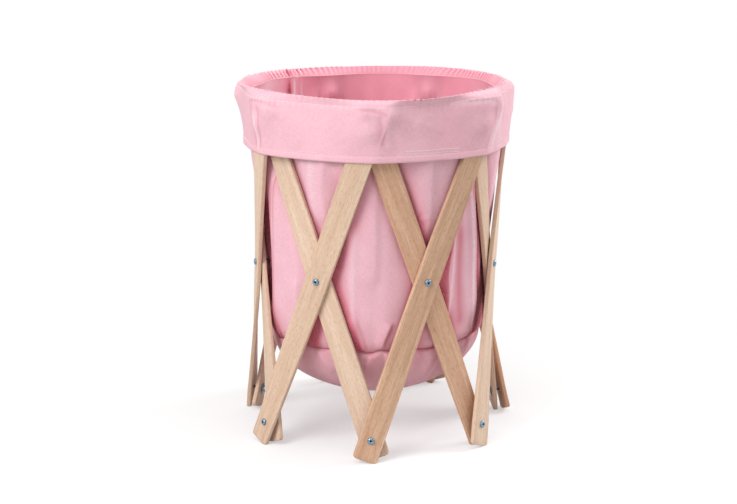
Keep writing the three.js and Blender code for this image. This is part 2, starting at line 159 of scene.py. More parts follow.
class Nodes:
    """The node tree of a material or a world, with short ways to add to it."""

    def __init__(self, owner, empty=False):
        owner.use_nodes = True
        self.owner, self.tree = owner, owner.node_tree
        if empty:
            self.tree.nodes.clear()

    def put(self, value, socket):
        """Gives a socket a number or a colour, or joins another node's output to it."""
        if isinstance(value, bpy.types.NodeSocket):
            self.tree.links.new(value, socket)
        else:
            socket.default_value = value

    def fill(self, target, **inputs):
        for key, value in inputs.items():
            self.put(value, target.inputs[key.replace("_", " ")])
        return target

    def add(self, kind, **inputs):
        return self.fill(self.tree.nodes.new("ShaderNode" + kind), **inputs)

    def maths(self, operation, a, b=0.0):
        made = self.add("Math")
        made.operation = operation
        self.put(a, made.inputs[0])
        self.put(b, made.inputs[1])
        return made.outputs[0]

    def times(self, a, b):
        return self.maths("MULTIPLY", a, b)

    def mix(self, share, a, b):
        """A mix of two colours, whose sockets are the mix node's seventh and eighth."""
        made = self.add("Mix")
        made.data_type = "RGBA"
        for index, value in ((0, share), (6, a), (7, b)):
            self.put(value, made.inputs[index])
        return made.outputs[2]

    def ramp(self, source, low, high, first=BLACK, last=WHITE):
        made = self.add("ValToRGB", Fac=source)
        for element, place, colour in zip(made.color_ramp.elements, (low, high), (first, last)):
            element.position, element.color = place, colour
        return made.outputs["Color"]

    def flat(self, *scale):
        """The piece's own flat coordinates in metres, times a scale along and across."""
        uv = self.add("UVMap")
        uv.uv_map = "flat"
        return self.add("Mapping", Scale=(*scale, 1), Vector=uv.outputs["UV"]).outputs["Vector"]

    def noise(self, along, across, **inputs):
        return self.add("TexNoise", Scale=1, Vector=self.flat(along, across), **inputs).outputs["Fac"]

    def bump(self, height, strength, distance):
        return self.add("Bump", Height=height, Strength=strength, Distance=distance).outputs["Normal"]

    def attribute(self, name):
        made = self.add("Attribute")
        made.attribute_name = name
        return made.outputs["Fac"]

    def seen(self):
        """1 where the camera sees it, straight or through a mirror or glass."""
        rays = self.add("LightPath").outputs
        either = self.maths("MAXIMUM", rays["Is Camera Ray"], rays["Is Glossy Ray"])
        return self.maths("MAXIMUM", either, rays["Is Transmission Ray"])

    def blend(self, share, a, b):
        """A mix of two shaders."""
        made = self.add("MixShader")
        for value, socket in zip((share, a.outputs[0], b.outputs[0]), made.inputs):
            self.put(value, socket)
        return made

    def surface(self, **inputs):
        """Fills in the principled shader, and returns the material."""
        self.fill(self.tree.nodes["Principled BSDF"], **inputs)
        return self.owner


def canvas_material():
    """Plain-weave cotton canvas, with painted light in its colour: a painted glow inside the bag, less of it where a
    slat lies behind it (a painted shadow), painted shade deepening in its folds and painted highlights on their
    crests."""
    g = Nodes(bpy.data.materials.new("canvas"))
    thread = 0.00062
    weave = g.flat(1 / thread, 1 / thread)
    parts = g.add("SeparateXYZ", Vector=weave).outputs
    warp, weft = (g.maths("ABSOLUTE", g.maths("SINE", g.times(parts[k], math.pi))) for k in (0, 1))
    over = g.mix(g.add("TexChecker", Scale=1, Vector=weave).outputs["Fac"], warp, weft)
    threads = g.times(g.noise(150, 1100, Detail=3), g.noise(1100, 150, Detail=3))
    dye = g.noise(28, 28, Detail=4)
    base = g.ramp(dye, 0.3, 0.7, linear(242, 193, 204), linear(248, 202, 212))
    # Painted glow: the bag's inside is a deeper pink, standing in for light that shines through the cloth.
    deep = g.ramp(dye, 0.3, 0.7, linear(238, 162, 178), linear(243, 170, 186))
    base = g.mix(g.attribute("inside"), base, deep)
    # Painted shadow: a greyer pink where a slat lies behind the cloth and blocks the light through it.
    base = g.mix(g.attribute("behind"), base, linear(226, 159, 175))
    # Painted shade: tone above 0 darkens the cloth toward deep red in folds and beside slats, deepest above 1.
    tone = g.attribute("tone")
    base = g.mix(g.ramp(tone, 0, 1), base, linear(200, 84, 100))
    deepest = g.times(g.maths("SUBTRACT", tone, 1.0), 1.6)
    base = g.mix(g.ramp(deepest, 0, 1), base, linear(140, 20, 42))
    # Painted highlight: tone below 0 turns the cloth nearly white where a fold catches the light.
    base = g.mix(g.maths("MAXIMUM", g.times(tone, -1.0), 0.0), base, linear(255, 240, 244))
    toned = g.mix(g.times(g.ramp(threads, 0.16, 0.42), 0.55), base, linear(226, 158, 174))
    gaps = g.times(g.maths("SUBTRACT", 1.0, over), 0.14)
    height = g.maths("ADD", over, g.times(threads, 1.2))
    return g.surface(Base_Color=g.mix(gaps, toned, linear(200, 120, 138)), Normal=g.bump(height, 0.4, 0.0003),
                     Roughness=0.92, Specular_IOR_Level=0.18, Sheen_Weight=0.15, Sheen_Roughness=0.45)


def thread_material():
    """White sewing thread, twisted."""
    g = Nodes(bpy.data.materials.new("thread"))
    twist = g.add("TexWave", Scale=1, Distortion=1.5, Vector=g.flat(1800, 900)).outputs["Fac"]
    shade = g.ramp(twist, 0, 1, linear(246, 228, 232), linear(255, 250, 250))
    return g.surface(Base_Color=shade, Normal=g.bump(twist, 0.4, 0.0002), Roughness=0.7)


def beech_material(name, light, dark, fleck, grain):
    """Planed beech: soft bands, fine dark streaks, veins, short brown ray flecks and pores along the slat."""
    g = Nodes(bpy.data.materials.new(name))
    light, dark, fleck = linear(*light), linear(*dark), linear(*fleck)
    broad = g.noise(3.2, 95, Detail=3, Roughness=0.55)
    streak = g.noise(13, 420, Detail=5, Roughness=0.6, Distortion=0.3)
    vein = g.noise(16, 230, Detail=2, Roughness=0.5, Distortion=0.8)
    pores = g.noise(120, 800, Detail=2, Roughness=0.5)
    rays = g.add("TexVoronoi", Scale=1, Vector=g.flat(260, 1100)).outputs["Distance"]
    wood = g.ramp(broad, 0.32, 0.66, dark, light)
    wood = g.mix(g.times(g.ramp(streak, 0.38, 0.62, WHITE, BLACK), grain), wood, dark)
    wood = g.mix(g.times(g.ramp(vein, 0.36, 0.56, WHITE, BLACK), 0.38 * grain), wood, fleck)
    wood = g.mix(g.times(g.maths("LESS_THAN", rays, 0.24), 0.34), wood, fleck)
    wood = g.mix(g.times(g.maths("GREATER_THAN", pores, 0.58), 0.34), wood, fleck)
    height = g.maths("ADD", g.times(streak, 0.6), pores)
    gloss = g.maths("ADD", g.times(broad, 0.15), 0.48)
    return g.surface(Base_Color=wood, Normal=g.bump(height, 0.22, 0.0002), Roughness=gloss, Specular_IOR_Level=0.35)


def zinc_material(name, tint, roughness):
    """Bright zinc plate with the faint mottling of tumbled fasteners."""
    g = Nodes(bpy.data.materials.new(name))
    mottle = g.add("TexNoise", Scale=900, Detail=4, Vector=g.add("TexCoord").outputs["Object"]).outputs["Fac"]
    plate = g.ramp(mottle, 0.3, 0.7, linear(*[c * 0.86 for c in tint]), linear(*tint))
    rough = g.maths("ADD", g.times(mottle, 0.16), roughness)
    return g.surface(Base_Color=plate, Roughness=rough, Normal=g.bump(mottle, 0.1, 0.0001), Metallic=1.0)


CANVAS = canvas_material()
THREAD = thread_material()
BEECH = {
    "pale": beech_material("beech_pale", (234, 208, 186), (215, 185, 160), (182, 144, 116), 0.50),
    "light": beech_material("beech_light", (229, 203, 180), (208, 176, 149), (176, 135, 107), 0.55),
    "warm": beech_material("beech_warm", (231, 194, 165), (207, 162, 131), (172, 120, 90), 0.65),
    "tan": beech_material("beech_tan", (227, 191, 162), (200, 159, 129), (160, 116, 88), 0.80),
}
ZINC = zinc_material("zinc_head", (132, 160, 182), 0.14)
ZINC_DULL = zinc_material("zinc_nut", (150, 160, 168), 0.26)
# The dark painted shade inside the bolt heads' sockets.
SOCKET_SHADE = zinc_material("socket_painted_shade", (16, 34, 50), 0.34)


# ---- meshes


def placed(name, data):
    made = bpy.data.objects.new(name, data)
    bpy.context.scene.collection.objects.link(made)
    return made


def mesh_from(bm, name):
    mesh = bpy.data.meshes.new(name)
    bm.to_mesh(mesh)
    bm.free()
    return mesh


def declare(piece, body, replaced):
    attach(piece, body)
    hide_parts(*replaced)
    return piece


def quad_mesh(name, points, quads, flats, normals, material_index):
    """A mesh of four-sided faces with flat coordinates and a normal at each corner."""
    mesh = bpy.data.meshes.new(name)
    mesh.vertices.add(len(points))
    mesh.vertices.foreach_set("co", np.asarray(points, np.float32).ravel())
    mesh.loops.add(len(quads) * 4)
    mesh.loops.foreach_set("vertex_index", np.asarray(quads, np.int32).ravel())
    mesh.polygons.add(len(quads))
    mesh.polygons.foreach_set("loop_start", np.arange(0, len(quads) * 4, 4, dtype=np.int32))
    mesh.polygons.foreach_set("material_index", np.asarray(material_index, np.int32))
    mesh.update(calc_edges=True)
    mesh.validate()
    layer = mesh.uv_layers.new(name="flat")
    layer.data.foreach_set("uv", np.asarray(flats, np.float32).ravel())
    mesh.polygons.foreach_set("use_smooth", np.ones(len(quads), bool))
    mesh.normals_split_custom_set(np.asarray(normals, np.float32))
    return mesh


def unit(vectors):
    return vectors / np.maximum(np.linalg.norm(vectors, axis=-1, keepdims=True), 1e-12)


def surface_normals(grid, flip):
    """Normals of a grid of points that closes on itself along its second axis."""
    around = np.roll(grid, -1, axis=1) - np.roll(grid, 1, axis=1)
    along = np.gradient(grid, axis=0)
    return unit(np.cross(around, along)) * (-1 if flip else 1)


# ---- the slats' places


def half_length(layer):
    """How far the end bolts lie from the mid bolt, along a slat of a layer."""
    return math.hypot(LAYERS[layer][2] * math.sin(HALF), HALF_HEIGHT)


def station(layer, along):
    """A slat's centre, outward and across directions in its face's own frame, at a place along it."""
    lean, mid, end = LAYERS[layer]
    share = abs(along) / half_length(layer)
    direction = Vector((0, lean * end * math.sin(HALF), HALF_HEIGHT)).normalized()
    bow = (end * math.cos(HALF) - mid) * share**BOW_POWER
    turn = lean * math.copysign(1, along) * END_TWIST * min(share, 1) ** TWIST_POWER
    outward = Matrix.Rotation(turn, 3, direction) @ Vector((1, 0, 0))
    return direction * along + Vector((mid + bow, 0, 0)), outward, outward.cross(direction)


def face_azimuth(index):
    return FRONT + HALF * (2 * index + 1)


def upright_azimuth(index):
    return FRONT + 2 * HALF * index


def turned(x, y, z, azimuth):
    """Points of a face's own frame, with the face turned to its azimuth."""
    c, s = math.cos(azimuth), math.sin(azimuth)
    return np.column_stack([x * c - y * s, x * s + y * c, z])


def slat_side(layer, side):
    """Points all over one side of every slat of a layer: side 1 is the outer side, -1 the inner."""
    reach, half, step = half_length(layer) + SLAT_BEYOND, SLAT_WIDTH / 2, 0.001
    rows = []
    for along in np.arange(-reach, reach + step / 2, step):
        centre, outward, across = station(layer, float(along))
        base = np.array(centre + outward * (side * SLAT_THICK / 2))
        rows.append(base + np.outer(np.arange(-half, half + step / 2, step), across))
    points = np.vstack(rows) + [0, 0, MID_Z]
    return np.vstack([turned(*points.T, face_azimuth(index)) for index in range(FACES)])


def disc(azimuth, radius, height, size, count=260):
    """Points of a small disc that faces outwards, such as a nut's end or a bolt's head, at even spacing."""
    golden_angle = 2.399963
    angle = np.arange(count) * golden_angle
    reach = size * np.sqrt((np.arange(count) + 0.5) / count)
    return turned(radius, reach * np.cos(angle), height + reach * np.sin(angle), azimuth)


def limit_grid(points, columns, heights, nearest):
    """The least (or most) radius of the points at each cell of a grid of azimuths and heights."""
    x, y, z = points.T
    margin = 0.004
    column = np.round((np.arctan2(y, x) - FRONT) / TURN * columns).astype(int) % columns
    row = np.clip(np.searchsorted(heights, z), 0, len(heights) - 1)
    keep = (z > heights[0] - margin) & (z < heights[-1] + margin)
    grid = np.full((len(heights), columns), np.inf if nearest else -np.inf)
    pick = np.minimum if nearest else np.maximum
    for step in (-1, 0, 1):
        for rise in (-1, 0):
            rows = np.clip(row + rise, 0, len(heights) - 1)
            pick.at(grid, (rows[keep], (column[keep] + step) % columns), np.hypot(x, y)[keep])
    return grid


# ---- runs round the ring


def ring_of(columns):
    return FRONT + TURN * np.arange(columns) / columns


def to_points(azimuth, radius, z):
    return np.stack([radius * np.cos(azimuth), radius * np.sin(azimuth), z], -1)


def at_uprights(azimuth):
    """1 at the uprights, 0 in the middle of the faces."""
    return (1 + np.cos(FACES * (azimuth - FRONT))) / 2


def waves(azimuth, count, low, high, seed):
    """A smooth, seeded ripple round the ring, between about -1 and 1."""
    own = np.random.default_rng(seed)
    total = np.zeros_like(azimuth)
    for _ in range(count):
        total += own.uniform(0.4, 1.0) * np.cos(own.integers(low, high) * azimuth + own.uniform(0, TURN))
    return total / math.sqrt(count)


def curve(a, b, c, d, t):
    """A smooth run from b to c, a share t of the way."""
    return 0.5 * (2 * b + (c - a) * t + (2 * a - 5 * b + 4 * c - d) * t**2 + (3 * b - a - 3 * c + d) * t**3)


def round_ring(azimuth, values):
    """A smooth run round the ring through one value at each upright and each face."""
    count = len(values)
    place = (azimuth - FRONT) / TURN * count
    low = np.floor(place).astype(int)
    return curve(*(np.take(values, (low + k) % count) for k in (-1, 0, 1, 2)), place - low)


def spline_rows(knots, steps):
    """A smooth run of rows through rows of knots, steps to each gap."""
    padded = np.concatenate([2 * knots[:1] - knots[1:2], knots, 2 * knots[-1:] - knots[-2:-1]], 0)
    rows = [curve(*padded[i : i + 4], k / steps) for i in range(len(knots) - 1) for k in range(steps)]
    return np.array(rows + [knots[-1]])


def ease(values, reach):
    """Rises from 0 to 1 over a reach."""
    return np.clip(values / reach, 0, 1)


def angle_between(a, b):
    return (a - b + math.pi) % TURN - math.pi


def near(azimuth, degrees, width, power=2):
    """A soft bump round the ring, 1 at its middle."""
    return np.exp(-((angle_between(azimuth, math.radians(degrees)) / width) ** power))


def folds(azimuth, z, scale, lines):
    """Creases along lines: a rise that ends sharply on one side and softly on the other.

    Each has its corners, in turn degrees and millimetres of height, its width in millimetres, its rise, and the share
    of its width that its sharp side takes.
    """
    total = np.zeros((len(z), len(azimuth)))
    for corners, width, rise, sharp in lines:
        places = [(math.radians(a), h / MILLI) for a, h in zip(corners[::2], corners[1::2])]
        nearest = np.full(total.shape, np.inf)
        side, along = np.zeros((2, *total.shape))
        for k, ((a0, z0), (a1, z1)) in enumerate(zip(places[:-1], places[1:])):
            x, y = angle_between(azimuth, a0) * scale, (z - z0)[:, None]
            ex, ey = angle_between(a1, a0) * scale, z1 - z0
            part = np.clip((x * ex + y * ey) / (ex**2 + ey**2), 0, 1)
            away = np.hypot(x - part * ex, y - part * ey)
            closer = away < nearest
            nearest = np.where(closer, away, nearest)
            side = np.where(closer, np.sign(ex * y - ey * x), side)
            along = np.where(closer, (k + part) / (len(places) - 1), along)
        across = nearest / (width / MILLI)
        shape = np.where(side > 0, np.exp(-(across**1.4)), np.exp(-((across / sharp) ** 1.8)))
        ends = ease(np.minimum(along, 1 - along), 0.18)
        total += rise * shape * ends * ends * (3 - 2 * ends)
    return total


def neighbours(grid):
    """A grid's values one column before and after, and one row below and above, where the end rows stand again."""
    return (np.roll(grid, 1, 1), np.roll(grid, -1, 1), np.vstack([grid[:1], grid[:-1]]),
            np.vstack([grid[1:], grid[-1:]]))


def blur(grid, times):
    for _ in range(times):
        before, after = neighbours(grid)[:2]
        grid = (before + 2 * grid + after) / 4
        below, above = neighbours(grid)[2:]
        grid = (below + 2 * grid + above) / 4
    return grid


# ---- the bag's wall

# The slack wall's radius by height, before slats and nuts press on it.
SLACK_HEIGHTS = (0.143, 0.148, 0.156, 0.18, 0.21, 0.24, 0.27, 0.31, 0.345, 0.40, 0.45, 0.4905)
SLACK_RADII = (0.1520, 0.1552, 0.1582, 0.1597, 0.1606, 0.1620, 0.1645, 0.1686, 0.1728, 0.1795, 0.1826, 0.1836)

# The discs of bolt ends, nuts and washers that press on it: distance from the axis, height over the bolt, and size.
MID_DISCS = ((0.1533, 0, 0.0032), (0.1570, 0, 0.0050), (0.1610, 0, 0.0085))
TOP_DISCS = ((0.1680, 0.002, 0.0035), (0.1716, 0.001, 0.0085))

WALL_FOLDS = (
    ((-139.8, 400, -143, 340, -149, 230, -154, 140), 20, 5, 0.1),
    ((-150, 380, -159, 260, -166, 150), 10, -5.5, 0.9),
    ((-25.5, 150, -31, 260, -36.5, 340, -39.8, 410), 13, 6.5, 0.1),
    ((-49, 200, -50.5, 250, -48.8, 310, -51, 370), 7, 2.6, 0.5),
    ((-89.5, 230, -88.5, 290, -88.5, 350, -87, 410), 22, 3.4, 0.35),
    ((-101, 340, -98.5, 290, -98, 220, -99.2, 150), 24, 3.6, 0.4),
    ((-93, 143, -95, 165, -99, 200), 9, 3, 0.3),
    ((-85, 143, -84, 160, -80, 190), 8, 3.2, 0.3),
    ((-64.5, 300, -62.5, 340, -63.8, 390, -63, 450), 16, 3, 0.35),
    ((-70, 336, -66, 333, -62, 336), 3, 1.4, 0.6),
    ((-112, 320, -113, 370, -110, 440), 16, 2.6, 0.4),
    ((-120, 330, -121, 380, -123, 440), 14, 2.2, 0.4),
    ((-60, 143, -56, 175, -53, 220), 12, 3.4, 0.3),
    ((-128, 143, -131, 190, -131, 250), 14, 2.8, 0.4),
    ((12, 410, 8, 300, 5, 160), 16, 4, 0.2),
    ((33, 360, 35, 260, 32, 150), 15, 3.6, 0.25),
    ((58, 400, 61, 300, 57, 170), 18, 4, 0.2),
    ((84, 350, 82, 260, 86, 150), 14, 3, 0.3),
    ((104, 410, 101, 300, 104, 160), 18, 4.2, 0.2),
    ((150, 380, 153, 280, 150, 160), 16, 4, 0.2),
    ((176, 400, 172, 300, 175, 180), 14, 3.4, 0.25),
)

# Painted shade where the cloth is deeper in a fold's shade (rise above 0), and painted highlight where it catches the
# light along its edge (below 0).
WALL_TONES = (
    ((-157, 360, -158.5, 296, -160.5, 230, -160, 150), 13, 1.3, 0.8),
    ((-139.8, 400, -141.5, 365, -146.4, 275, -150.7, 169, -153, 143), 1.7, 0.6, 1),
    ((-142, 400, -143.6, 365, -148.9, 275, -153.4, 169, -155.8, 143), 4, -0.5, 1),
    ((-42.4, 410, -40.4, 373, -34, 276, -28.9, 170, -27.5, 145), 2.1, -0.95, 1),
    ((-46.5, 400, -44.8, 373, -38.5, 276, -33.5, 170), 5, -0.2, 1),
    ((-37, 410, -34.7, 373, -27.5, 276, -22, 170, -20.5, 145), 13, 1.5, 0.9),
    ((-46, 350, -47.2, 306, -46.8, 256, -47.7, 213, -49.7, 165), 3.4, -0.7, 0.6),
    ((-49.5, 350, -51.5, 300, -51.5, 256, -52.5, 213, -54, 165), 10, 0.62, 1),
    ((-43.5, 330, -43, 270, -41, 200, -39, 160), 10, 0.7, 1),
    ((-80, 400, -76, 335, -73.5, 292, -70.5, 234, -66, 180), 14, 0.3, 1),
    ((-104, 420, -108, 330, -113, 240), 10, 0.2, 1),
    ((-97, 330, -99, 260, -99.5, 180), 5, -0.3, 1),
    ((-64, 430, -63.8, 390, -63, 340), 10, -0.08, 0.4),
    ((-66, 345, -68, 336, -64, 322), 2.2, 0.2, 1),
    ((-117, 430, -118.5, 380, -118, 320), 7, -0.35, 0.6),
    ((-58, 155, -55.5, 180, -53.5, 210), 6, 0.35, 1),
    ((-84, 150, -82, 170, -78, 190), 5, 0.4, 1),
    ((-98, 150, -100.5, 170, -104, 190), 5, 0.3, 1),
)

# The same painted shade and painted highlights on the wall's inner side: the seam that joins its ends, and the shaded
# left.
LINING_TONES = (
    ((137.6, 500, 137.2, 440, 136.9, 380, 136.9, 200), 6, 1.9, 0.5),
    ((134.4, 510, 134.3, 440, 134.2, 380, 134.2, 200), 1.6, -1.4, 1),
    ((130.6, 500, 130.5, 440, 130.4, 380, 130.4, 200), 1.1, -0.8, 1),
    ((124, 520, 121, 460, 119, 400, 118, 200), 30, 0.34, 1),
    ((60, 440, 90, 430, 125, 440), 20, 0.22, 1),
    ((150, 530, 158, 470, 160, 400), 30, -0.55, 1),
)


def seam_shift(azimuth):
    """How far the seam between wall and bottom lies above its plain height."""
    shift = 0.0018 + 0.0014 * waves(azimuth, 5, 4, 13, 41)
    for degrees, rise, width in ((-85, 0.0040, 0.07), (-50, 0.0040, 0.10), (-157, -0.002, 0.2), (75, 0.003, 0.1)):
        shift = shift + rise * near(azimuth, degrees, width)
    return shift


def pressed_in(slack, limit, top):
    """How far slats and nuts press the wall inwards, carried on softly between them."""
    pressed = np.maximum(slack[:, None] - limit, 0)
    inward = pressed
    for _ in range(900):
        before, after, below, above = neighbours(inward)
        mean = (before + after) * 0.34 + (above + below) * 0.16
        inward = np.maximum(mean * 0.9955, pressed)
        inward[0] = 0
        inward[-1] = slack[-1] - top
    return inward


def wall_surface():
    """The wall's outer side: a slack bag that rests on the nuts, swells between the slats and falls in folds."""
    columns = STRIPS * WALL_COLS
    azimuth = ring_of(columns)
    heights = np.concatenate([SEAM_Z + np.array([0, 0.0010, 0.0024, 0.0042, 0.0064]),
                              np.linspace(SEAM_Z + 0.009, WALL_TOP_Z, 110)])
    slack = np.interp(heights, SLACK_HEIGHTS, SLACK_RADII)
    slats = np.vstack([slat_side("inner", -1), slat_side("outer", -1)])
    nuts = [disc(place(index), radius, bolt_z + rise, size) for index in range(FACES)
            for place, bolt_z, discs in ((face_azimuth, MID_Z, MID_DISCS), (upright_azimuth, TOP_Z, TOP_DISCS))
            for radius, rise, size in discs]
    slat_limit = limit_grid(slats, columns, heights, True)
    nut_limit = limit_grid(np.vstack(nuts), columns, heights, True)
    limit = np.minimum(slat_limit - WALL_OFF_SLATS, nut_limit - WALL_OFF_NUTS)
    covered = np.isfinite(slat_limit).astype(float)
    top = WALL_TOP_RADIUS - 0.0094 * at_uprights(azimuth) ** 1.5
    radius = slack[:, None] - pressed_in(slack, limit, top)
    high = (heights - SEAM_Z)[:, None]
    middle = ease(high, 0.05) * ease((WALL_TOP_Z - heights)[:, None], 0.05)
    drift = 0.014 * np.sin(high * 14 + 1.3 * np.sin(azimuth * 3))
    radius = radius + 0.0010 * waves(azimuth + drift, 9, 16, 44, 3) * middle
    gathers = 0.0013 * waves(azimuth, 7, 40, 84, 5) * np.exp(-high / 0.016)
    radius = radius + gathers * ease(high, 0.004)
    radius = radius + folds(azimuth, heights, WALL_SCALE, WALL_FOLDS) / MILLI * ease(high, 0.006)
    radius = np.minimum(radius, limit + WALL_SINKS)
    radius = radius - np.interp(high, [0, 0.0010, 0.0024, 0.0042], [0.0030, 0.0014, 0.0004, 0])
    z = heights[:, None] + seam_shift(azimuth) * np.exp(-high / 0.035)
    rim_from = 0.43
    near_top = ease(heights[:, None] - rim_from, WALL_TOP_Z - rim_from) ** 2
    z = z + (round_ring(azimuth, RIM_HEIGHT) - CASING_HEIGHT - WALL_TOP_Z) * near_top
    # Painted shadow of the slats on the cloth beside them, most on their right where they lean over it.
    beside = 0.75 * blur(np.roll(covered, 5, axis=1), 6) + 0.55 * blur(np.roll(covered, 12, axis=1), 30)
    beside = beside * np.interp(np.degrees(azimuth), [-90, -60, -20, 60], [0.72, 0.9, 1.0, 0.7])
    beside = beside * np.interp(heights, [0.27, 0.38], [1.0, 0.42])[:, None]
    # The tone adds painted shade and painted highlights along WALL_TONES, and painted shade low on the wall just above
    # the seam.
    tone = beside + folds(azimuth, heights, WALL_SCALE, WALL_TONES) + 0.34 * np.exp(-high / 0.016)
    # The inner side: painted shade and highlights from LINING_TONES, and blurred painted slat shadows where a slat
    # lies behind the cloth.
    lining = np.clip(folds(azimuth, heights, LINING_SCALE, LINING_TONES), PALEST, DEEPEST)
    seam = near(azimuth, 132.6, 0.0032 / LINING_SCALE, 6)
    sheet = two_sided(to_points(azimuth, radius, z), (CLOTH + 0.0014 * seam)[..., None], False, (0, 1),
                      blur(covered, 10), np.clip(tone, PALEST, DEEPEST), lining)
    return azimuth, top, sheet


# ---- the bag's bottom

DISH_FOLDS = (
    ((-83, 143, -81, 125, -76, 105), 11, 5, 0.25),
    ((-90, 143, -92, 125, -97, 110), 10, 3.4, 0.3),
    ((-66, 143, -60, 120, -58, 95), 13, 4.6, 0.2),
    ((-50, 143, -52, 120, -56, 90), 12, 5, 0.2),
    ((-38, 143, -40, 125, -46, 105), 10, 3, 0.3),
    ((-120, 143, -117, 125, -112, 105), 10, 2.6, 0.3),
    ((-146, 143, -143, 125, -140, 110), 9, 2.6, 0.3),
    ((5, 143, 9, 120, 10, 95), 12, 4, 0.25),
    ((44, 143, 41, 125, 38, 100), 12, 4, 0.25),
    ((92, 143, 96, 120, 98, 100), 12, 4, 0.25),
    ((140, 143, 137, 120, 136, 100), 12, 3.6, 0.25),
    ((176, 143, 179, 125, 180, 100), 12, 3.6, 0.25),
)


def dish_pleats(azimuth):
    return waves(azimuth, 6, 26, 58, 11)


def dish_surface(azimuth):
    """The round bottom, gathered into the seam: rows run from the seam to the middle."""
    turn = np.concatenate([[0.0, 0.008, 0.018, 0.03, 0.044], np.linspace(0.06, 0.999, 40)])
    angle = math.pi / 2 * (1 - turn)
    z = SEAM_Z - 0.0002 - DISH_DEPTH * np.cos(angle) ** DISH_POWER
    base = SEAM_RADIUS * np.sin(angle) ** DISH_POWER
    depth = (SEAM_Z - z)[:, None]
    eased = ease(depth, 0.005)
    broad = waves(azimuth, 4, 5, 14, 12)
    swell = 0.010 * dish_pleats(azimuth) * np.exp(-depth / 0.014) + 0.014 * broad * np.exp(-depth / 0.035)
    lean = 0.030 * near(azimuth, -140, 0.6) * np.sin(math.pi * ease(depth, DISH_DEPTH))
    radius = base[:, None] * (1 + (swell + lean) * eased)
    radius = radius + folds(azimuth, z, DISH_SCALE, DISH_FOLDS) / MILLI * eased * ease(base, 0.08)[:, None]
    radius = radius - np.interp(turn, [0, 0.008, 0.018, 0.03], [0.0028, 0.0010, 0.0002, 0])[:, None]
    z = z[:, None] + seam_shift(azimuth) * np.exp(-depth / 0.03)
    # Its tones are painted shade: deep in the pleats below the seam, and a little towards the middle.
    row = np.arange(len(turn))[:, None]
    shade = 0.30 * np.clip(-dish_pleats(azimuth), -0.4, 1) * np.exp(-row / 9)
    tone = np.clip(0.16 + shade + 0.20 * np.exp(-row / 4), -0.3, 0.9)
    return two_sided(to_points(azimuth, radius, z), CLOTH, True, (0, 1), tone=tone)


# ---- the cuff and the casing along the rim

# The top bolts' heads, which the cuff lies over: distance from the axis, height over the bolt, and size.
HEAD_DISCS = ((0.2010, -0.002, 0.0046), (0.2000, -0.002, 0.0060))

# The casing's inner side from its stitch line to the ridge: shares of the way out and of the way up.
CASING_ROWS = ((0, 0), (0.16, 0.30), (0.44, 0.58), (0.75, 0.84), (0.95, 0.965), (1.0, 1.0))
ROWS_PER_KNOT = 4
HANGING_ROWS = 48

CUFF_FOLDS = (
    ((-144.5, 488, -146.5, 470, -145.5, 445, -146, 418), 4.5, -1.1, 0.8),
    ((-142.8, 418, -140.5, 445, -139.8, 470, -141, 486), 4, -1, 0.8),
    ((-152, 480, -147, 486.5, -140.5, 489, -134, 487.5, -127, 483), 5, -1.3, 0.8),
    ((-140, 478, -133, 462, -126.5, 446, -121, 428), 16, 1.3, 0.8),
    ((-96, 489, -90.2, 488, -86, 484, -83, 479), 5, -1.3, 0.8),
    ((-84.5, 434, -85, 450, -86, 468, -86.5, 484), 7.5, -1.3, 0.8),
    ((-78, 424, -80, 440, -82, 458, -81, 474), 10, -1.1, 0.8),
    ((-73, 470, -66, 461, -58.5, 451), 9, 0.8, 0.8),
    ((-75, 449, -67, 445, -60, 438), 7, -0.6, 0.8),
    ((-70, 478, -64, 474, -57, 473), 6, 0.5, 0.8),
    ((-52, 489, -44, 489, -38, 486.5, -33, 481), 5, -1.3, 0.8),
    ((-36, 420, -34.5, 445, -32.5, 466, -33.5, 486), 6, -1.2, 0.8),
    ((-14, 484, -19, 462, -24, 440, -27, 422), 7, 1.5, 0.8),
    ((-4, 478, -9, 455, -12, 430), 8, 1.2, 0.8),
    ((-110, 475, -104, 460, -101, 440), 14, 0.7, 0.8),
    ((6, 487, 13, 489, 20, 485), 5, -1.3, 0.8),
    ((18, 420, 17, 450, 19, 482), 6, -1.1, 0.8),
    ((24, 476, 34, 455, 40, 430), 12, 1, 0.8),
    ((57, 486, 64, 489, 71, 485), 5, -1.3, 0.8),
    ((70, 420, 69, 450, 70.5, 480), 6, -1.1, 0.8),
    ((79, 476, 88, 455, 93, 430), 12, 1, 0.8),
    ((108, 486, 115.5, 489, 123, 485), 5, -1.3, 0.8),
    ((120, 420, 121, 450, 122, 480), 6, -1.1, 0.8),
    ((140, 476, 134, 455, 130, 430), 12, 1.1, 0.8),
    ((160, 486, 167, 489, 175, 485), 5, -1.3, 0.8),
    ((172, 420, 173, 450, 174, 480), 6, -1.1, 0.8),
)

# Painted shade (rise above 0) and painted highlights (below 0) along the cuff's folds.
CUFF_TONES = (
    ((-144.5, 488, -146.5, 470, -145.5, 445, -146, 418), 1.8, 0.5, 1),
    ((-142.8, 418, -140.5, 445, -139.8, 470, -141, 484), 1.8, 0.45, 1),
    ((-144, 418, -143, 445, -142.8, 475), 3, -0.55, 1),
    ((-152, 480, -147, 486.5, -140.5, 489, -134, 487.5, -127, 483), 2.6, 0.26, 1),
    ((-96, 489, -90.2, 488, -86, 484, -83, 479), 2.6, 0.24, 1),
    ((-84.8, 425, -85, 450, -86, 468, -87, 488), 7, 0.16, 0.3),
    ((-52, 489, -44, 489, -38, 486.5, -34, 481), 2, -0.45, 1),
    ((-38, 416, -36.5, 445, -34.5, 466, -35.5, 486), 4, 0.3, 0.8),
    ((-34, 416, -32, 445, -30, 466, -31, 488), 6, -0.6, 1),
    ((-28, 416, -26, 445, -24, 466, -23, 488), 6, -0.34, 1),
    ((-73, 470, -66, 461, -58.5, 451), 3, 0.1, 1),
    ((-54, 488, -54, 450, -55, 416), 40, 0.1, 1),
)


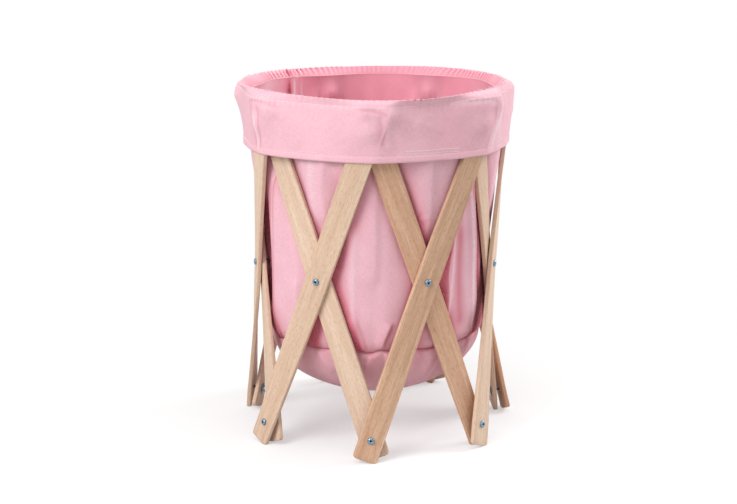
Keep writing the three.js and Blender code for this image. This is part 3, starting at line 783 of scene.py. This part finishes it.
def cuff_hang(azimuth, limit):
    """The cuff's radius where it hangs: cloth drawn tight round the slats and bolt heads, and blurred free of them."""
    ring = np.maximum(CUFF_RADIUS + 0.0120 * at_uprights(azimuth) ** 1.5, limit[0] - 0.0012)
    taut = CUFF_RADIUS + 0.0115 * at_uprights(azimuth) ** 1.6
    radius = np.maximum(taut, limit)
    step = TURN / len(azimuth)
    for _ in range(1500):
        before, after, above, below = neighbours(radius)
        level = (before + after) / 2 - 0.85 * step**2 / 2 * radius
        radius = np.maximum(level * 0.85 + (above + below) / 2 * 0.15, limit)
        radius[0] = ring
    smooth = blur(radius, 30)
    lack = np.maximum(limit - smooth, 0)
    for _ in range(9):
        lack = np.maximum.reduce([lack, *neighbours(lack)])
    return smooth + blur(lack, 30)


def casing_knots(wall_top, azimuth, edge_radius, edge_z):
    """Rows of the casing, from its stitch line inside, up to the ridge and down to the outer stitch line."""
    ridge_radius, ridge_z = round_ring(azimuth, RIM_RADIUS), round_ring(azimuth, RIM_HEIGHT)
    foot = wall_top - CLOTH - LOOSE
    knots = [(foot + (ridge_radius - foot) * out, ridge_z - CASING_HEIGHT * (1 - up)) for out, up in CASING_ROWS]
    knots.append((ridge_radius + 0.0009, ridge_z - 0.0007))
    knots.append((ridge_radius + (edge_radius - ridge_radius) * 0.66 + 0.0006, edge_z + (ridge_z - edge_z) * 0.52))
    knots.append((edge_radius, edge_z))
    return np.stack([np.stack(knot, -1) for knot in knots])


def cuff_surface(wall_top):
    """The cuff's seen side, from the casing's stitch line inside, over the rim and down outside the slats."""
    columns = STRIPS * CUFF_COLS
    azimuth = ring_of(columns)
    hem = CUFF_HANG - 0.0093
    drop = np.concatenate([np.linspace(0, hem, HANGING_ROWS),
                           CUFF_HANG - np.array([0.0086, 0.0066, 0.0046, 0.0028, 0.0014, 0.0006, 0])])
    heights = CASING_Z - drop
    touching = [disc(upright_azimuth(index), radius, TOP_Z + rise, size) for index in range(FACES)
                for radius, rise, size in HEAD_DISCS]
    limit = limit_grid(np.vstack([slat_side("outer", 1), *touching]), columns, heights[::-1], False)[::-1]
    limit = np.maximum(limit + CLOTH + LOOSE, CUFF_LEAST_RADIUS)
    radius = cuff_hang(azimuth, limit)
    fall = (CASING_Z - heights)[:, None]
    eased = ease(fall, 0.003)
    soft = 0.0007 * waves(azimuth + 0.02 * np.sin(fall * 60), 8, 9, 34, 21) * ease(fall, 0.02)
    radius = radius + soft + folds(azimuth, heights, CUFF_SCALE, CUFF_FOLDS) / MILLI * eased
    radius = np.maximum(radius, limit - 0.0002)
    pinch = np.interp(drop, [0, 0.0022, 0.005], [0.0011, 0.0003, 0])[:, None]
    fold_over = np.interp(drop, [0, hem - 0.0016, hem - 0.0002, hem + 0.0010, CUFF_HANG - 0.0012, CUFF_HANG],
                          [0, 0, -0.0005, 0.0008, 0.0008, -0.0006])[:, None]
    radius = radius - pinch + fold_over
    hanging = heights[:, None] + round_ring(azimuth, CUFF_RISE) * np.exp(-((fall / 0.022) ** 1.5))
    rim = spline_rows(casing_knots(wall_top, azimuth, radius[0], hanging[0]), ROWS_PER_KNOT)
    path = np.concatenate([rim[:-1], np.stack([radius, hanging], -1)], 0)
    part = np.linspace(0, 1, len(rim))
    between = (np.sin(np.pi * np.clip((part - 0.02) / 0.96, 0, 1)) ** 0.6)[:, None]
    zones = 0.20 + sum(deep * near(azimuth, degrees, width) for deep, degrees, width in
                       ((1.5, 158, 0.62), (1.0, 8, 0.75), (0.6, -150, 0.30)))
    ripple = np.cos(148 * azimuth + 3.1 * waves(azimuth, 5, 4, 19, 31)) + 0.4 * waves(azimuth, 5, 70, 120, 32)
    gather = 0.0010 * zones * ripple
    fading = 0.45 * gather * np.exp(-fall / 0.005) * (fall > 0.0008)
    lift = np.concatenate([(gather * between)[:-1], fading], 0)
    # The gathers get painted shade in their valleys and painted highlights on their crests, most inside the bag, and
    # painted shade darkens the seam inside.
    shade = np.clip(-ripple * zones, -1.2, 1.6)
    seam = near(azimuth, 137, 0.003 / 0.19)
    within = (part < 0.62)[:, None]
    banded = np.where(within, 0.62 * shade + 1.6 * seam + 0.16, 0.30 * shade) * between
    outside = 0.30 * shade * np.exp(-fall / 0.006) + folds(azimuth, heights, CUFF_SCALE, CUFF_TONES) * eased
    tone = np.clip(np.concatenate([banded[:-1], outside], 0), PALEST, DEEPEST)
    points = to_points(azimuth, path[..., 0], path[..., 1])
    points = points + surface_normals(points, True) * lift[..., None]
    ridge_row = (len(CASING_ROWS) - 1) * ROWS_PER_KNOT
    # The casing's inner rows, inside the bag, take the painted glow.
    inside = np.clip(ridge_row - np.arange(len(points)), 0, 1)[:, None]
    return two_sided(points, CLOTH, True, (inside, 0), tone=tone), len(rim)


# ---- strips


def cut_size(grid):
    """The size one strip of a sheet was cut to: its widest row by its length, and its area."""
    rows = np.linalg.norm(np.diff(grid, axis=1, append=grid[:, :1]), axis=2).sum(1) / STRIPS
    steps = np.linalg.norm(np.diff(grid, axis=0), axis=2)
    width, length = float(rows.max()), float(steps.sum(0).mean())
    area = float(((rows[1:] + rows[:-1]) / 2 * steps.mean(1)).sum())
    return (width, length), min(area, width * length)


def two_sided(grid, thick, flip, inside, behind=0, tone=0, lining=0):
    """A sheet round the ring with its seen and hidden sides.

    The tones of each point paint light and shade into its colour: its share inside the bag, given for both sides,
    which gets a painted glow; the share that has a slat behind it, which gets a painted shadow; and its painted shade
    and highlight, given as tone and lining.
    """
    normals = surface_normals(grid, flip)
    tones = np.zeros((3, 2, *grid.shape[:2]))
    tones[0, 0], tones[0, 1] = inside
    tones[1, 1] = behind
    tones[2, 0], tones[2, 1] = tone, lining
    flat, area = cut_size(grid)
    return SimpleNamespace(grid=grid, back=grid - normals * thick, normals=normals, tones=tones, flip=flip, flat=flat,
                           area=area)


def strip_arrays(sheet, index):
    """One closed strip of a two-sided sheet: points, faces, corner normals, flat coordinates and tones."""
    rows, total = sheet.grid.shape[:2]
    per = total // STRIPS
    width = per + 1
    base = rows * width
    cols = (np.arange(width) + index * per) % total
    front, back, normal = (part[:, cols].reshape(-1, 3) for part in (sheet.grid, sheet.back, sheet.normals))
    at = np.arange(base).reshape(rows, width)
    one = np.stack([at[:-1, :-1], at[:-1, 1:], at[1:, 1:], at[1:, :-1]], -1).reshape(-1, 4)
    two = one[:, [0, 3, 2, 1]]
    skin, lining = (two, one + base) if sheet.flip else (one, two + base)
    ends = np.concatenate([np.stack([line[1:], line[:-1], line[:-1] + base, line[1:] + base], 1)
                           for line in (at[0], at[-1, ::-1], at[::-1, 0], at[:, -1])])
    if sheet.flip:
        ends = ends[:, ::-1]
    points = np.concatenate([front, back])
    both_normals = np.concatenate([normal, -normal])
    steps = np.linalg.norm(np.diff(sheet.grid[:, cols[width // 2]], axis=0), axis=1)
    along = np.concatenate([[0], np.cumsum(steps)])
    angle = (np.arange(width) + index * per) * (TURN / total) * FLAT_RADIUS
    flat = np.stack(np.broadcast_arrays(angle, along[:, None]), -1).reshape(-1, 2)
    flat = np.concatenate([flat, flat])
    edge = points[ends]
    edge_normal = unit(np.cross(edge[:, 1] - edge[:, 0], edge[:, 2] - edge[:, 0]))
    quads = np.concatenate([skin, lining, ends])
    normals = np.concatenate([both_normals[skin].reshape(-1, 3), both_normals[lining].reshape(-1, 3),
                              np.repeat(edge_normal, 4, 0)])
    return points, quads, normals, flat[quads].reshape(-1, 2), sheet.tones[..., cols].reshape(3, -1)


# A stitch's five rings of six points, from end to end: their places along it and their shares of its radius.
BEAD_RINGS = ((-0.5, 0.35), (-0.36, 0.9), (0.0, 1.0), (0.36, 0.9), (0.5, 0.35))
BEAD_SIDES = 6
BEAD_QUADS = np.array([[r + m, r + (m + 1) % BEAD_SIDES, r + (m + 1) % BEAD_SIDES + BEAD_SIDES, r + m + BEAD_SIDES]
                       for r in range(0, 24, BEAD_SIDES) for m in range(BEAD_SIDES)]
                      + [[3, 2, 1, 0], [0, 5, 4, 3], [24, 25, 26, 27], [27, 28, 29, 24]])


def stitch_arrays(places, normals):
    """A row of little stitches, each a six-sided bead that lies along the line through its neighbours."""
    step = np.arange(len(places))
    ahead = unit(places[np.minimum(step + 1, len(places) - 1)] - places[np.maximum(step - 1, 0)])
    side = unit(np.cross(normals, ahead))
    share, swell = (values[:, None, None] for values in np.array(BEAD_RINGS).T)
    angle = (np.arange(BEAD_SIDES) * (TURN / BEAD_SIDES))[:, None]
    here, ahead, side, normal = (part[:, None, None, :] for part in (places, ahead, side, normals))
    centre = here + ahead * share * STITCH_LENGTH + normal * (0.35 * STITCH_RADIUS * (1 - 4 * share**2))
    away = side * np.cos(angle) + normal * np.sin(angle) * 0.8
    points = (centre + away * STITCH_RADIUS * swell).reshape(-1, 3)
    quads = (BEAD_QUADS[None] + len(BEAD_RINGS) * BEAD_SIDES * step[:, None, None]).reshape(-1, 4)
    own = np.repeat(places, len(BEAD_QUADS), 0)
    outward = unit(points[quads].mean(1) - own)
    corners = unit(points[quads] - own[:, None, :])
    corner_normals = unit(corners + outward[:, None, :] * 0.3)
    flat = np.stack([np.arange(len(quads) * 4) * 0.0001, np.zeros(len(quads) * 4)], -1)
    return points, quads, corner_normals.reshape(-1, 3), flat


def sewn_strip(name, index, sheet, stitches, replaced):
    """A strip of cloth with its stitches, that rides on the bag."""
    points, quads, normals, flat, tones = strip_arrays(sheet, index)
    marks = np.zeros(len(quads), int)
    for places, place_normals in stitches:
        more = stitch_arrays(places, place_normals)
        quads = np.concatenate([quads, more[1] + len(points)])
        points, normals, flat = (np.concatenate(pair) for pair in ((points, more[0]), (normals, more[2]),
                                                                   (flat, more[3])))
        marks = np.concatenate([marks, np.ones(len(more[1]), int)])
    mesh = quad_mesh(name, points, quads, flat, normals, marks)
    # The tones carry painted light: the inside's painted glow, the painted shadow of slats behind the cloth, and the
    # painted shade and highlights of its folds.
    for label, tone in zip(("inside", "behind", "tone"), tones):
        layer = mesh.attributes.new(label, "FLOAT", "POINT")
        layer.data.foreach_set("value", np.pad(tone, (0, len(points) - len(tone))).astype(np.float32))
    mesh.materials.append(CANVAS)
    mesh.materials.append(THREAD)
    piece = declare(placed(name, mesh), "bag", replaced)
    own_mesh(piece)
    return piece


def line_in_strip(sheet, row, index, count, hem=False):
    """Evenly spaced places along a row of a sheet, inside one strip. A hem's show only between a face's slats."""
    points, normals = sheet.grid[row], sheet.normals[row]
    total = len(points)
    at = (index + (np.arange(count) + 0.5) / count) * (total // STRIPS)
    if hem:
        at = at[np.abs(at * FACES / total % 1 - 0.5) < 0.235]
    low = np.floor(at).astype(int)
    part = (at - low)[:, None]
    here, turned_to = (run[low % total] * (1 - part) + run[(low + 1) % total] * part for run in (points, normals))
    return here, unit(turned_to)


def make_bag():
    azimuth, top, wall = wall_surface()
    bottom = dish_surface(azimuth)
    cuff_places = np.arange(STRIPS * CUFF_COLS) / CUFF_COLS * WALL_COLS
    cuff, rim_rows = cuff_surface(np.interp(cuff_places, np.arange(len(top) + 1), np.append(top, top[0])))
    hem_row = rim_rows - 2 + HANGING_ROWS
    for index in range(STRIPS):
        tag = f"{index + 1:02d}"
        stitches = [line_in_strip(cuff, row, index, count) for row, count in ((1, 17), (rim_rows - 1, 18))]
        # The hem's second line of stitches shows in two places only.
        hem_lines = (hem_row - 1, hem_row - 4) if index in (1, 2, 15, 16) else (hem_row - 1,)
        hem_stitches = [line_in_strip(cuff, row, index, 18, hem=True) for row in hem_lines]
        stitches += [line for line in hem_stitches if len(line[0]) > 1]
        for kind, sheet, sewn, replaced, squash, held, on in (
            ("wall", wall, [], ["bag_wall"], WALL_SQUASH, "hung", f"bag_cuff_{tag}"),
            ("bottom", bottom, [], ["bag_bottom"], BOTTOM_SQUASH, "gathered", f"bag_wall_{tag}"),
            ("cuff", cuff, stitches, ["bag_cuff", "rim_elastic"], CUFF_SQUASH, "folded",
             f"beech_outer_slat_{index // 4 + 1}"),
        ):
            piece = sewn_strip(f"bag_{kind}_{tag}", index, sheet, sewn, replaced)


# ---- slats


def slat_outline(half, thick):
    """A slat's cross-section with eased corners, as points across and outward."""
    outline = []
    for quarter, (sx, sy) in enumerate(((1, 1), (-1, 1), (-1, -1), (1, -1))):
        for k in range(4):
            angle = (quarter + k / 3) * math.pi / 2
            outline.append((sx * (half - SLAT_EASE) + SLAT_EASE * math.cos(angle),
                            sy * (thick - SLAT_EASE) + SLAT_EASE * math.sin(angle)))
    return outline


def eased_in(size, past):
    """How far a rounded end draws in, at a distance past the round's start."""
    return size - math.sqrt(max(size**2 - past**2, 0)) if past > 0 else 0


def slat_mesh(layer, seed):
    """A slat with eased edges and rounded corners, with flat coordinates along the grain."""
    reach = half_length(layer) + SLAT_BEYOND
    inner = reach - SLAT_CORNER
    ends = [inner + SLAT_CORNER * math.sin(a) for a in np.linspace(0, math.pi / 2, 9)]
    ends[-1] = reach - 0.00002
    bm = bmesh.new()
    flat = bm.loops.layers.uv.new("flat")
    coords = {}
    rings = []
    for along in [-c for c in ends[::-1]] + list(np.linspace(-inner, inner, 61))[1:-1] + ends:
        centre, outward, across = station(layer, along)
        half = SLAT_WIDTH / 2 - eased_in(SLAT_CORNER, abs(along) - inner)
        thick = SLAT_THICK / 2 - eased_in(SLAT_EASE, abs(along) - (reach - SLAT_EASE))
        ring, around, last = [], 0.0, None
        for x, y in slat_outline(half, thick):
            vert = bm.verts.new(centre + across * x + outward * y)
            around += math.hypot(x - last[0], y - last[1]) if last else 0
            last = (x, y)
            coords[vert] = (along, around)
            ring.append(vert)
        rings.append(ring)
    join_rings(bm, rings)
    bm.faces.new(rings[0][::-1])
    bm.faces.new(rings[-1])
    for face in bm.faces:
        for loop in face.loops:
            along, around = coords[loop.vert]
            if around == 0.0 and any(coords[v.vert][1] > 0.06 for v in face.loops):
                around = 2 * (SLAT_WIDTH + SLAT_THICK)
            loop[flat].uv = (along + seed * 1.37, around + seed * 0.71)
    bmesh.ops.recalc_face_normals(bm, faces=bm.faces)
    bm.transform(Matrix.Translation((0, 0, MID_Z)))
    return mesh_from(bm, "slat")


def join_rings(bm, rings):
    for one, two in zip(rings[:-1], rings[1:]):
        for k, here in enumerate(one):
            n = (k + 1) % len(one)
            bm.faces.new((here, one[n], two[n], two[k]))


def drill_object(radius, distance, azimuth, height, tilt):
    bm = bmesh.new()
    bmesh.ops.create_cone(bm, segments=28, radius1=radius, radius2=radius, depth=0.05, cap_ends=True)
    bm.transform(bolt_place(azimuth, distance, height, tilt) @ Matrix.Rotation(math.pi / 2, 4, "Y"))
    return placed("drill", mesh_from(bm, "drill"))


def bolt_place(azimuth, distance, height, tilt):
    """Where a bolt along +X lies, with its middle between its two slats."""
    return (Matrix.Rotation(azimuth, 4, "Z") @ Matrix.Translation((distance, 0, height))
            @ Matrix.Rotation(tilt, 4, "Y"))


def make_slat(layer, index):
    """A slat, drilled for its bolts and with the tip of its foot cut flat on the floor."""
    lean = LAYERS[layer][0]
    end_hole = BORE if layer == "outer" else LOOSE_BORE
    work = placed("work", slat_mesh(layer, index * 2 + (lean > 0)))
    drills = [drill_object(BORE, MID_RADIUS, 0, MID_Z, 0),
              drill_object(end_hole, PIVOT_RADIUS, lean * HALF, TOP_Z, BOLT_TILT),
              drill_object(end_hole, PIVOT_RADIUS, -lean * HALF, FOOT_Z, -BOLT_TILT)]
    for each in drills:
        cut = work.modifiers.new("cut", "BOOLEAN")
        cut.operation = "DIFFERENCE"
        cut.solver = "EXACT"
        cut.object = each
    bpy.context.view_layer.update()
    mesh = bpy.data.meshes.new_from_object(work.evaluated_get(bpy.context.evaluated_depsgraph_get()))
    for each in [work, *drills]:
        bpy.data.objects.remove(each)
    bm = bmesh.new()
    bm.from_mesh(mesh)
    geometry = bm.verts[:] + bm.edges[:] + bm.faces[:]
    made = bmesh.ops.bisect_plane(bm, geom=geometry, plane_co=(0, 0, 0.00001), plane_no=(0, 0, -1), clear_outer=True)
    edges = [e for e in made["geom_cut"] if isinstance(e, bmesh.types.BMEdge)]
    if edges:
        bmesh.ops.edgeloop_fill(bm, edges=edges)
    bm.transform(Matrix.Rotation(face_azimuth(index), 4, "Z"))
    bm.to_mesh(mesh)
    bm.free()
    name = f"beech_{layer}_slat_{index + 1}"
    mesh.name = name
    mesh.materials.clear()
    mesh.materials.append(BEECH[SLAT_TONES[layer][index]])
    mesh.shade_smooth()
    declare(placed(name, mesh), f"{layer}_{index + 1}", [f"{layer}_slat_{index + 1}"])
    mesh.set_sharp_from_angle(angle=SLAT_SHARP)


# ---- bolts and nuts


def hexagon(angle):
    """A hexagon's reach, where 1 is its corners."""
    part = (angle + math.pi / 6) % (math.pi / 3) - math.pi / 6
    return math.cos(math.pi / 6) / math.cos(part)


def lathe(name, profile, hexed, bored, materials):
    """Turns a profile of (radius, place along +X). Its hexed rows are hexagons, and its ends are joined or capped."""
    bm = bmesh.new()
    rings = []
    for row, (radius, place) in enumerate(profile):
        ring = []
        for k in range(LATHE_SIDES):
            angle = TURN * k / LATHE_SIDES
            reach = radius * (hexagon(angle) if row in hexed else 1)
            ring.append(bm.verts.new((place, reach * math.cos(angle), reach * math.sin(angle))))
        rings.append(ring)
    join_rings(bm, rings + rings[:1] if bored else rings)
    if not bored:
        bm.faces.new(rings[0])
        bm.faces.new(rings[-1][::-1])
    bmesh.ops.recalc_face_normals(bm, faces=bm.faces)
    mesh = mesh_from(bm, name)
    for each in materials:
        mesh.materials.append(each)
    mesh.shade_smooth()
    mesh.set_sharp_from_angle(angle=ZINC_SHARP)
    return mesh


def bolt_mesh(name, seat, tip):
    """A button-head bolt along +X with a hexagon socket and a threaded end. Its head starts at seat."""
    thread_from = seat - SLAT_THICK
    profile = [(0.0002, tip), (SHANK_RADIUS - 0.0007, tip), (SHANK_RADIUS - 0.0002, tip + 0.0005)]
    place = tip + 0.0007
    while place < thread_from:
        profile += [(SHANK_RADIUS - 0.00035, place), (SHANK_RADIUS - 0.00002, place + THREAD_PITCH / 2)]
        place += THREAD_PITCH
    profile += [(SHANK_RADIUS, thread_from + 0.0005), (SHANK_RADIUS, seat), (HEAD_RADIUS - 0.00015, seat),
                (HEAD_RADIUS, seat + 0.0002), (HEAD_RADIUS, seat + 0.0007)]
    for share in (0.12, 0.28, 0.45, 0.62, 0.8, 1.0):
        turn = share * math.pi / 2
        profile.append((0.0021 + 0.00265 * math.cos(turn), seat + 0.0007 + 0.0020 * math.sin(turn)))
    top = seat + HEAD_HEIGHT
    socket = range(len(profile) + 1, len(profile) + 4)
    profile += [(0.00195, top), (0.00175, top - 0.0003), (0.00170, top - 0.0014), (0.0003, top - 0.0020)]
    mesh = lathe(name, profile, socket, False, (ZINC, SOCKET_SHADE))
    # The socket's inner faces take the dark painted shade.
    for face in mesh.polygons:
        widest = max(math.hypot(*mesh.vertices[v].co.yz) for v in face.vertices)
        if face.center.x > top - SOCKET_DEPTH and widest < 0.0018:
            face.material_index = 1
    return mesh


def nut_mesh(name, seat):
    """A chamfered hexagon nut on its washer, with its bore, along +X. The washer's outer side lies at seat."""
    back = seat - WASHER_THICK
    end = back - NUT_HEIGHT
    corner = NUT_REACH / math.cos(math.pi / 6)
    washer = [(BORE, seat), (WASHER_RADIUS - 0.0002, seat), (WASHER_RADIUS, seat - 0.0002),
              (WASHER_RADIUS, back + 0.0002), (WASHER_RADIUS - 0.0002, back)]
    nut = [(corner, back - 0.0001), (corner, end + 0.0004), (0.0039, end), (BORE + 0.0003, end), (BORE, end + 0.0003)]
    return lathe(name, washer + nut, range(len(washer), len(washer) + 2), True, (ZINC_DULL,))


def make_fasteners():
    bow_slope = abs(LAYERS["outer"][2] * math.cos(HALF) - LAYERS["outer"][1]) / HALF_HEIGHT
    end_slope = abs(HALF - END_TWIST) + bow_slope
    clear = 0.0003
    mid_seat = clear + WASHER_RADIUS * math.tan(2 * bow_slope)
    end_head = clear + HEAD_RADIUS * math.tan(end_slope)
    end_nut = clear + WASHER_RADIUS * math.tan(end_slope + math.radians(2.5))
    stacks = {}
    for kind, gap, head_gap, nut_gap in (("mid", MID_GAP, mid_seat, mid_seat), ("end", END_GAP, end_head, end_nut)):
        face = gap / 2 + SLAT_THICK
        washer = -(face + nut_gap)
        bolt = bolt_mesh(f"{kind}_bolt", face + head_gap, washer - BOLT_BEYOND_WASHER)
        stacks[kind] = (bolt, nut_mesh(f"{kind}_nut", washer))
    for index in range(FACES):
        before = (index - 1) % FACES + 1
        for kind, azimuth, distance, height, tilt, body, stack in (
            ("mid", face_azimuth(index), MID_RADIUS, MID_Z, 0.0, f"mid_{index + 1}", "mid"),
            ("foot", upright_azimuth(index), PIVOT_RADIUS, FOOT_Z, -BOLT_TILT, f"outer_{index + 1}", "end"),
            ("top", upright_azimuth(index), PIVOT_RADIUS, TOP_Z, BOLT_TILT, f"outer_{before}", "end"),
        ):
            place = bolt_place(azimuth, distance, height, tilt) @ Matrix.Rotation(1.1 * index + height * 7, 4, "X")
            for mesh, what in zip(stacks[stack], ("bolt", "nut")):
                piece = placed(f"zinc_{kind}_{what}_{index + 1}", mesh)
                piece.matrix_world = place
                declare(piece, body, [f"{kind}_{what}_{index + 1}"])


# ---- the room


def make_floor():
    """A floor that takes the basket's shadow and runs out into white."""
    bm = bmesh.new()
    bmesh.ops.create_grid(bm, x_segments=8, y_segments=8, size=20)
    floor = placed("floor", mesh_from(bm, "floor"))
    floor.location = (0, 0, -0.0002)
    g = Nodes(bpy.data.materials.new("floor"), empty=True)
    reach = g.add("VectorMath")
    reach.operation = "LENGTH"
    g.put(g.add("TexCoord").outputs["Object"], reach.inputs[0])
    far = g.add("MapRange", From_Min=0.22, From_Max=0.75, To_Min=0.42, Value=reach.outputs["Value"])
    far.interpolation_type = "SMOOTHSTEP"
    seen = g.seen()
    near_by = g.blend(seen, g.add("BsdfDiffuse", Color=(0.62, 0.62, 0.62, 1)),
                      g.add("BsdfDiffuse", Color=(0.95, 0.95, 0.95, 1)))
    mixed = g.blend(g.times(far.outputs[0], seen), near_by, g.add("Emission", Color=WHITE, Strength=1.0))
    g.add("OutputMaterial", Surface=mixed.outputs[0])
    floor.data.materials.append(g.owner)


def area_light(name, azimuth, elevation, distance, size, power):
    data = bpy.data.lights.new(name, "AREA")
    data.shape = "DISK"
    data.size = size
    data.energy = power
    lamp = placed(name, data)
    aim = Vector((0, 0, 0.28))
    a, e = math.radians(azimuth), math.radians(elevation)
    lamp.location = Vector((math.cos(a) * math.cos(e), math.sin(a) * math.cos(e), math.sin(e))) * distance + aim
    lamp.rotation_mode = "QUATERNION"
    lamp.rotation_quaternion = (aim - lamp.location).to_track_quat("-Z", "Y")


def make_world():
    """A white room that lights less than it shows."""
    bpy.context.scene.world = bpy.data.worlds.new("studio")
    g = Nodes(bpy.context.scene.world, empty=True)
    lights, shows = (g.add("Background", Color=WHITE, Strength=strength) for strength in (0.58, 1.0))
    g.add("OutputWorld", Surface=g.blend(g.seen(), lights, shows).outputs[0])


def make_camera():
    """The photograph's camera, as fitted to the bolt heads."""
    data = bpy.data.cameras.new("camera")
    data.lens = 74.5
    data.sensor_width = 36
    data.shift_x = -0.0096
    camera = placed("camera", data)
    distance, height = 2.179, 0.753
    turn, pitch = math.radians(1.82), math.radians(12.94)
    camera.location = (distance * math.sin(turn), -distance * math.cos(turn), height)
    ahead = Vector((-math.sin(turn) * math.cos(pitch), math.cos(turn) * math.cos(pitch), -math.sin(pitch)))
    camera.rotation_mode = "QUATERNION"
    camera.rotation_quaternion = ahead.to_track_quat("-Z", "Y")
    bpy.context.scene.camera = camera


for number in range(FACES):
    make_slat("outer", number)
    make_slat("inner", number)
make_fasteners()
make_bag()
make_floor()
area_light("key", -132, 34, 2.6, 1.3, 38)
area_light("side", 22, 30, 2.4, 1.0, 32)
area_light("top", -90, 74, 2.4, 1.4, 13)
make_world()
make_camera()
bpy.context.scene.view_settings.view_transform = "Standard"
